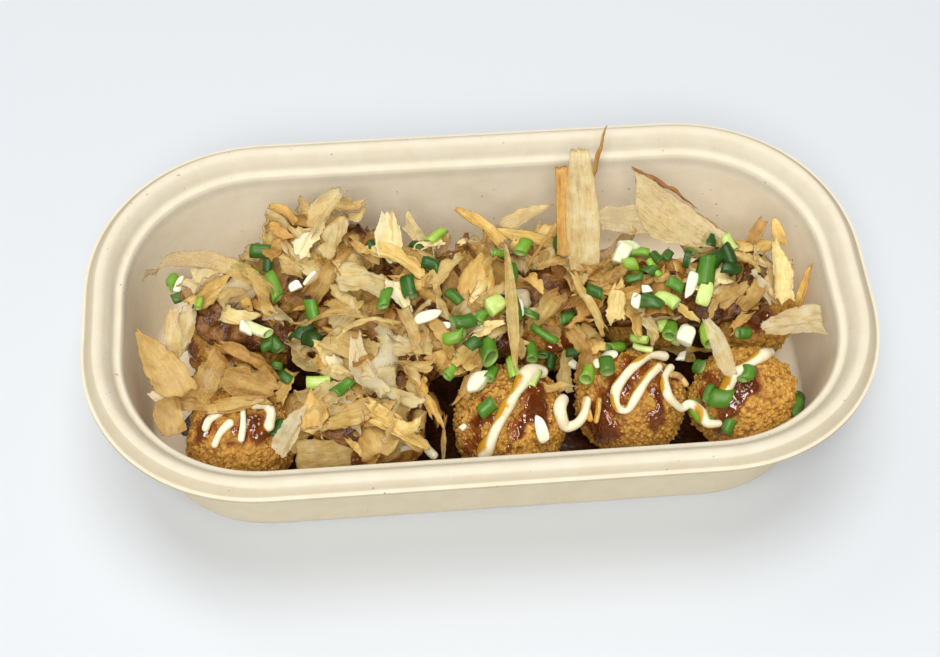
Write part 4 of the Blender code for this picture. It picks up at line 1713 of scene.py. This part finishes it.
LEAVES = (
    (-73, 16, 0, 4.2, 2.4, 0.30), (-55, -7, 30, 6.3, 4.2, 0.15), (-52, -11, -40, 5.7, 4.4, 0.12),
    (-43, -31, 40, 7.0, 2.9, 0.45), (-62, -33, 60, 6.3, 4.0, 0.18), (-32, 19, -70, 4.1, 2.3, 0.15),
    (-18, 21, -50, 4.5, 2.5, 0.15), (-8, -1, -50, 5.9, 2.6, 0.35), (10, -4, 90, 9.0, 3.6, 0.35),
    (-4, -17, 30, 4.4, 3.6, 0.25), (8, -21, 95, 7.8, 3.0, 0.80), (14, -25, 60, 7.0, 2.6, 0.88),
    (22, -9, 80, 5.1, 2.4, 0.20), (52, -5, -20, 8.0, 4.6, 0.28), (74, 18, 70, 6.4, 4.2, 0.16),
    (68, 16, 100, 6.0, 3.0, 0.50), (70, 4, 75, 9.2, 4.6, 0.40), (73, 8, 40, 5.9, 4.5, 0.20),
    (78, 9, -70, 7.4, 3.9, 0.15), (78, 4, -15, 6.0, 3.0, 0.16), (53, 5, 30, 3.8, 3.0, 0.30),
    (56, 11, -70, 4.8, 2.7, 0.25), (59, 12, 70, 5.7, 2.7, 0.28),
)
WHITES = (
    (65, 0, 75, 9.4, 3.3, 1.0), (63, -11, 60, 6.4, 5.2, 1.0),
    (47, -5, 75, 4.7, 2.9, 1.0), (15, -40, -80, 8.4, 3.6, 1.0), (-3, -25, 60, 6.4, 5.4, 0.98),
    (-8, -35, 20, 2.2, 1.9, 1.0), (12, -4, 85, 6.6, 2.0, 1.0), (37, -17, 20, 8.3, 4.2, 1.0),
    (29, -11, -50, 3.4, 2.6, 1.0), (-71, -6, -30, 4.3, 3.0, 1.0), (-51, 9, 35, 5.8, 2.6, 1.0),
    (-56, 7, 30, 4.0, 2.8, 1.0), (-17, -9, 10, 8.4, 3.8, 1.0), (-12, -11, -10, 4.2, 2.0, 1.0),
    (62, -13, 10, 3.0, 2.6, 1.0), (51, -1, -5, 3.2, 2.3, 1.0), (-27, 14, -80, 6.0, 2.2, 0.93),
    (4, -6, 30, 6.4, 5.2, 0.88), (20, -1, 15, 9.6, 3.4, 0.92), (69, -2, 70, 7.8, 4.4, 0.88),
    (56, -8, 10, 3.8, 3.6, 0.84), (62, -7, 50, 5.2, 3.4, 0.90), (45, 12, 60, 7.0, 4.6, 0.97),
    (48, 16, 20, 6.0, 4.0, 0.98),
)

# Pieces that stand against a wall: the height they reach down to, then rows as above.
WALL_TUBES = (20.0, ((-96.5, 29, 60, 5.0, 3.4, 0.55), (-94, 22, 20, 4.0, 3.6, 0.30)))
WALL_WHITES = (23.0, ((-93.5, 26, 75, 6.0, 2.6, 1.0),))
WALL_LEAVES = (15.0, ((97, -29.5, 75, 10.0, 3.4, 0.26), (95, -33.5, 60, 7.0, 3.0, 0.36)))

# Flakes of middle size in millimetres: x, y, heading, length, width, tone.
MIDDLE_FLAKES = (
    (-72, -11, -35, 22, 4, 0.42), (-85, -9, 60, 16, 8.5, 0.52), (-71, -16, -20, 17, 10, 0.55),
    (-74, -27, 10, 19, 5, 0.64), (-81, -8, -70, 15, 7.5, 0.48),
    (-92, 12, 65, 18, 8, 0.88), (-84, 12, 15, 11, 9, 0.92), (-75, 4, 30, 11, 6, 0.70),
    (-67, 5, -50, 19, 4.5, 0.60), (-59, 26, -30, 10, 5, 0.42), (-61, 21, 45, 10, 4.5, 0.50),
    (-43, 35, 10, 17, 5.5, 0.72), (-50, 22, 60, 14, 6, 0.93),
    (-54, 15, -30, 12, 5.5, 0.85), (-44, 21, 75, 12, 7, 0.84), (-45, 26, 30, 11, 5.5, 0.70),
    (-57, 14, -40, 9, 5, 0.74), (-44, 13, 50, 25, 6, 0.50), (-35, 5, -15, 15, 10, 0.86),
    (-42, -2, 15, 12, 6.5, 0.62), (-26, 13, -35, 25, 5, 0.68), (-34, 17, -45, 10, 4, 0.60),
    (-10, 9, 40, 16, 5, 0.72), (-1, 4, 70, 21, 10, 0.56), (-24, 0, -70, 12, 5, 0.98),
    (-22, -13, -75, 18, 4, 0.72), (-12, -3, -60, 12, 3.5, 0.72), (-42, -8, -5, 31, 2.5, 0.60),
    (-37, -11, 0, 25, 2.5, 0.75), (-54, -11, -40, 16, 4, 0.80), (-45, -25, -15, 11, 4, 0.74),
    (-36, -26, -70, 24, 7, 0.97), (-32, -30, 20, 12, 8.5, 0.90), (-40, -16, -30, 18, 6.5, 0.74),
    (-61, -16, 65, 13, 5.5, 0.60), (-47, -33, 30, 14, 8, 0.78), (-51, -37, 75, 14, 7.5, 0.52),
    (-39, -39, 10, 16, 8, 0.62), (-28, -43, -40, 22, 5, 0.62), (-50, -39, 0, 16, 8, 0.74),
    (-41, -47, -60, 10, 2.5, 0.62), (-19, -33, -70, 18, 5.5, 0.50), (-22, -22, 0, 15, 6, 0.64),
    (-27, -16, -15, 12, 6.5, 0.86), (-13, -14, -60, 17, 5, 0.54), (-15, -21, -30, 9, 6, 0.50),
    (-6, -24, 55, 14, 4, 0.42), (-14, -37, 85, 15, 1.5, 0.60), (1, -13, 15, 10, 4, 0.80),
    (-18, 16, -35, 12, 6, 0.62), (-14, 21, 20, 12, 3.5, 0.90),
    (-49, -13, -35, 10, 4, 0.80), (-32, -38, 60, 10, 5, 0.70), (-22, -31, -80, 13, 5, 0.70),
    (92, 1, -80, 16, 8.5, 0.76),
    (75, -2, 55, 18, 3.5, 0.66), (87, 1, -50, 8, 2.5, 0.96), (88, -3, -60, 10, 4, 0.99),
    (52, -6, -70, 12, 5, 0.80), (56, -6, 0, 12, 2, 0.80), (41, -5, 75, 14, 6.5, 0.72),
    (41, 5, 30, 11, 5.5, 0.46), (49, 1, 10, 8, 3.5, 0.44), (33, -3, -70, 24, 3, 0.70),
    (23, 11, 10, 10, 3.5, 0.55), (20, 17, 50, 14, 1.5, 0.42), (34, -9, -70, 15, 7, 0.60),
    (22, -4, -30, 8, 5.5, 0.66), (26, -12, 75, 16, 6, 0.72), (20, -25, 0, 15, 4, 0.66),
    (11, -10, -85, 12, 4, 0.70), (3, -13, 15, 7, 3.5, 0.82), (84, 9, -30, 10, 5, 0.68),
    (82, -6, 45, 13, 5, 0.52), (78, -3, 30, 11, 5, 0.60), (32, 5, 40, 8, 3.5, 0.80),
    (64, -6, -40, 8, 3, 0.70), (3, 10, 60, 10, 6, 0.60), (17, 5, -55, 9, 4, 0.55), (4, -1, 30, 10, 4, 0.68),
)

# Leaning flakes in millimetres: x, y, z, heading, lean, length, width, tone, sheer.
LEANING_FLAKES = (
    (-50, -43, 31, 5, 45, 17, 9, 0.74, 0.20), (-40, -45, 37, -50, 40, 10, 3, 0.60, 0.00),
    (-33, -45, 32, 20, 55, 12, 5.5, 0.50, 0.30), (-28, -41, 38.5, -40, 35, 19, 5, 0.64, 0.00),
    (32, -16, 32, 75, 30, 16, 8, 0.34, 0.20), (30, -12, 36, -60, 30, 13, 6, 0.50, 0.30),
    (51, -8, 38.5, -60, 30, 11, 5, 0.85, 0.30), (-83, -19, 38, 60, 20, 16, 9.5, 0.54, 0.45),
    (-71, -21, 38.5, -20, 25, 19, 11, 0.50, 0.45), (-75, -27, 37, 5, 30, 20, 5, 0.64, 0.30),
    (-79, -14, 37, -60, 20, 16, 7.5, 0.46, 0.30), (-72, -12, 39, -35, 20, 22, 4.5, 0.40, 0.10),
    (-90, -18, 28, 35, 30, 10, 5, 0.48, 0.20), (-91, 1, 36, 65, 15, 16, 8, 0.90, 0.35),
    (88, 17, 47.5, 65, 45, 9, 5, 0.42, 0.10), (-57, -38, 33, 65, 50, 11, 6, 0.60, 0.30),
    (-51, -34, 38, 75, 30, 13, 8, 0.50, 0.40), (-43, 35, 50.5, 10, 60, 16, 6, 0.80, 0.30),
    (-51, 29, 50, -25, 45, 11, 5, 0.45, 0.10), (-47, 27, 52, 70, 50, 11, 5, 0.94, 0.20),
    (45, -2, 46, 30, 50, 9, 5, 0.44, 0.10), (37, 6, 45, -20, 50, 10, 5, 0.48, 0.10),
    (83, -4, 43, 60, 45, 12, 5, 0.58, 0.20), (-18, 26, 45, -60, 40, 12, 6, 0.86, 0.30),
    (-98, -20, 30, -40, 20, 9, 3, 0.94, 0.00), (-90, -22.5, 31, -12, 35, 12, 5, 0.55, 0.15),
    (-4, -23, 38, 66, 35, 15, 4.5, 0.36, 0.10), (-11, -19, 37, -30, 30, 12, 6, 0.44, 0.30),
)

LARGE_FLAKES = (
    LargeFlake("flake_tall", (0.585, -0.13, -0.13), (0.705, 0.98, 0.98), 12.0, 0.78, 0.04, 0.0, 0.84, 0.5,
               cup=0.12, jag=0.10, sheer=0.35, points=(0.2, 0.35)),
    LargeFlake("flake_tall", (0.18, 0.01, 0.01), (0.31, 0.83, 0.83), 5.4, 0.9, 0.03, 0.0, 0.42, 0.8,
               jag=0.12, points=(0.1, 0.1), part="fold"),
    LargeFlake("flake_sliver", (0.0, -0.07, -0.07), (1.0, 1.0, 1.0), 2.4, 0.8, 0.03, 50.0, 0.36, 0.9,
               jag=0.10, points=(0.8, 0.85)),
    LargeFlake("flake_broad", (0.17, 0.66, 0.95), (0.88, -0.36, -0.07), 20.0, 1.0, 0.03, 0.0, 0.82, 1.0,
               cup=0.06, jag=0.14, sheer=0.45, points=(0.85, 0.95), straight=1.0),
    LargeFlake("flake_broad", (0.31, 0.96, 0.98), (0.75, 0.40, 0.46), 2.0, 0.7, 0.03, 0.0, 0.10, 0.5,
               cup=0.5, points=(0.5, 0.85), part="edge"),
    LargeFlake("flake_broad", (-0.02, 0.34, 0.28), (0.60, 0.22, 0.22), 12.5, 0.9, 0.03, 0.0, 0.86, 0.3,
               cup=0.06, jag=0.22, sheer=0.55, points=(0.25, 0.4), part="veil"),
    LargeFlake("flake_ribbon", (1.0, 0.1, 0.4), (0.0, 0.9, 0.0), 5.0, 1.9, 0.30, 0.0, 0.66, 0.6,
               twist=1.2, sheer=0.5, points=(0.2, 0.4)),
    LargeFlake("flake_left", (0.69, 0.14, 0.3), (0.06, 0.97, 0.7), 16.0, 0.3, 0.06, 0.0, 0.60, 0.6,
               sheer=0.18, points=(0.3, 0.7)),
    LargeFlake("flake_left_low", (0.60, 0.1, 0.2), (0.40, 0.9, 0.8), 11.0, 0.8, 0.04, 0.0, 0.58, 0.6,
               sheer=0.2),
    LargeFlake("flake_left_back", (0.5, 0.0, 0.1), (0.5, 1.0, 0.9), 6.5, 0.8, 0.08, 30.0, 0.80, 0.5,
               sheer=0.3),
    LargeFlake("flake_right_fan", (-0.10, 0.4, 0.6), (0.95, 0.6, 0.4), 7.0, 1.7, 0.06, 0.0, 0.92, 0.4, 0.2,
               jag=0.16, sheer=0.3, points=(0.4, 0.0)),
    LargeFlake("flake_right_mid", (0.5, 0.0, 0.0), (0.5, 1.0, 1.0), 8.5, 0.6, 0.10, 0.0, 0.84, 0.7, 0.3,
               jag=0.35, points=(0.2, 0.6)),
    LargeFlake("flake_right_back", (0.6, 0.0, 0.0), (0.4, 1.0, 1.0), 6.0, 0.5, 0.14, 0.0, 0.62, 0.9,
               jag=0.3, points=(0.2, 0.6)),
    LargeFlake("flake_right_end", (-0.6, -0.5, -0.35), (0.45, 0.75, 0.82), 4.2, 0.6, 0.10, 20.0, 0.56, 0.9,
               points=(0.5, 0.7)),
    LargeFlake("flake_pale", (0.5, 0.0, 0.0), (0.5, 1.0, 1.0), 10.5, 0.7, 0.10, 0.0, 0.92, 0.3, 0.3, 0.3,
               jag=0.25, points=(0.3, 0.6)),
    LargeFlake("flake_rear", (0.2, 0.2, 0.1), (0.8, 0.8, 0.9), 8.0, 1.1, 0.20, 0.0, 0.84, 0.7, 0.3, 0.3, 0.4,
               sheer=0.3, points=(0.5, 0.6)),
    LargeFlake("flake_curl", (0.9, 0.2, 0.2), (0.1, 0.8, 0.8), 5.0, 0.8, 0.30, 0.0, 0.54, 1.0, 0.0, 0.4,
               points=(0.4, 0.6)),
    LargeFlake("flake_middle", (0.95, 0.05, 0.1), (0.05, 0.95, 0.9), 6.0, 0.5, 0.16, 0.0, 0.60, 0.7, 0.0, 0.5,
               points=(0.2, 0.6)),
    LargeFlake("flake_wall", (0.05, 0.3, 0.1), (0.95, 0.7, 0.9), 8.0, 0.5, 0.06, 0.0, 0.80, 0.4, sheer=0.3,
               points=(0.3, 0.8)),
    LargeFlake("flake_strip", (0.5, -0.25, -0.2), (0.5, 1.15, 1.1), 5.0, 0.6, 0.12, 0.0, 0.72, 0.4,
               twist=0.7, sheer=0.25, points=(0.8, 0.5)),
    LargeFlake("flake_front", (0.2, 0.2, 0.1), (0.8, 0.8, 0.9), 8.5, 0.6, 0.05, 0.0, 1.0, 0.3, sheer=0.3,
               points=(0.4, 0.7)),
    LargeFlake("flake_blade", (0.1, 0.8, 0.9), (0.9, 0.2, 0.1), 6.5, 0.7, 0.10, 0.0, 0.66, 0.5,
               points=(0.4, 0.6)),
    LargeFlake("flake_narrow", (0.69, -0.02, -0.02), (0.13, 0.84, 0.84), 6.4, 0.8, 0.08, 0.0, 0.98, 0.4,
               sheer=0.25, points=(0.3, 0.5)),
)


# Short drips of mayonnaise: radius, amber and plan points in millimetres.
DRIPS = (
    (1.1, 0.3, ((-29.0, -42.5), (-26.0, -40.5), (-22.0, -39.0))),
    (1.3, 0.3, ((-20.0, -38.5), (-19.0, -41.0), (-17.5, -43.0))),
    (0.9, 0.3, ((-34.0, -45.0), (-37.0, -48.0))),
    (0.9, 0.3, ((-32.0, -45.5), (-30.0, -48.5))),
    (1.0, 0.3, ((20.0, 5.0), (22.0, 8.0), (24.5, 10.5))),
    (0.8, 0.3, ((-86.0, 4.0), (-80.0, 6.5), (-74.0, 7.5))),
    (1.1, 1.6, ((29.6, -27.7), (30.4, -31.0), (30.8, -34.0))),
    (0.7, 1.6, ((33.8, -29.7), (33.4, -32.0), (32.5, -34.8))),
    (1.0, 1.6, ((56.4, -23.2), (60.3, -21.7), (61.8, -23.8))),
)


def main() -> None:
    """Build every piece in order, then set the stage."""
    logging.basicConfig(level=logging.INFO, format="%(message)s")
    tray = Tray()
    tray.build(FibreFinish().make())
    Crowd.basin = Basin(tray)

    crust = CrustFinish().make()
    balls = [Ball(node, FRONT_DETAIL if node in FRONT_BALLS else OTHER_DETAIL, sauce,
                  BAKE.get(node, Ball.bake)) for node, sauce in SAUCE.items()]
    crumb = bmesh.new()
    bmesh.ops.create_icosphere(crumb, subdivisions=1, radius=1.0)
    crumbs = Crowd("crumbs", crumb)
    for ball in balls:
        ball.build(crust)
        ball.loose(crumbs, FRONT_CRUMBS if ball.node in FRONT_BALLS else OTHER_CRUMBS)
    publish(crumbs.build(crust), Slot.CRUST)

    SaucePool().build(SauceFinish().make())

    mayo = MayoFinish().make()
    for node, radius, points, swelling, amber in STRANDS:
        Strand(node + "_strand", radius, points, (node,), swelling, amber).build(balls, mayo)

    for count, (radius, amber, points) in enumerate(DRIPS, 1):
        Strand(f"mayo_drip_{count}", radius, points, amber=amber).build(balls, mayo)

    ground = Ground([ball.node for ball in balls] + ["flake_heap"])
    onion = Onion(ground, TUBE_LIFT)
    green = OnionFinish().make()
    onion.tubes("onion_tubes", TUBES, green)
    onion.tubes("onion_rings", RINGS, green)
    onion.lift = LEAF_LIFT
    onion.leaves("onion_leaves", LEAVES, green)
    onion.chunks("onion_whites", WHITES, green)
    for shape, name, (base, rows) in (
        (onion.tubes, "onion_wall_tubes", WALL_TUBES),
        (onion.chunks, "onion_wall_whites", WALL_WHITES),
        (onion.leaves, "onion_wall_leaves", WALL_LEAVES),
    ):
        onion.base = base
        shape(name, rows, green)

    flakes = FlakeFinish().make()
    toppings = [(row[0] * MM, row[1] * MM) for row in TUBES + RINGS + LEAVES + WHITES]
    heap = Heap(ground, toppings)
    heap.bed(BedFinish().make())
    for layer in HEAP_LAYERS:
        heap.scatter(layer, flakes)
    PlacedFlakes(ground, MIDDLE_FLAKES).build("flakes_placed", flakes)
    LeaningFlakes(LEANING_FLAKES).build("flakes_leaning", flakes)
    for flake in LARGE_FLAKES:
        flake.build(flakes)

    Studio().build()


if __name__ == "__main__":
    main()
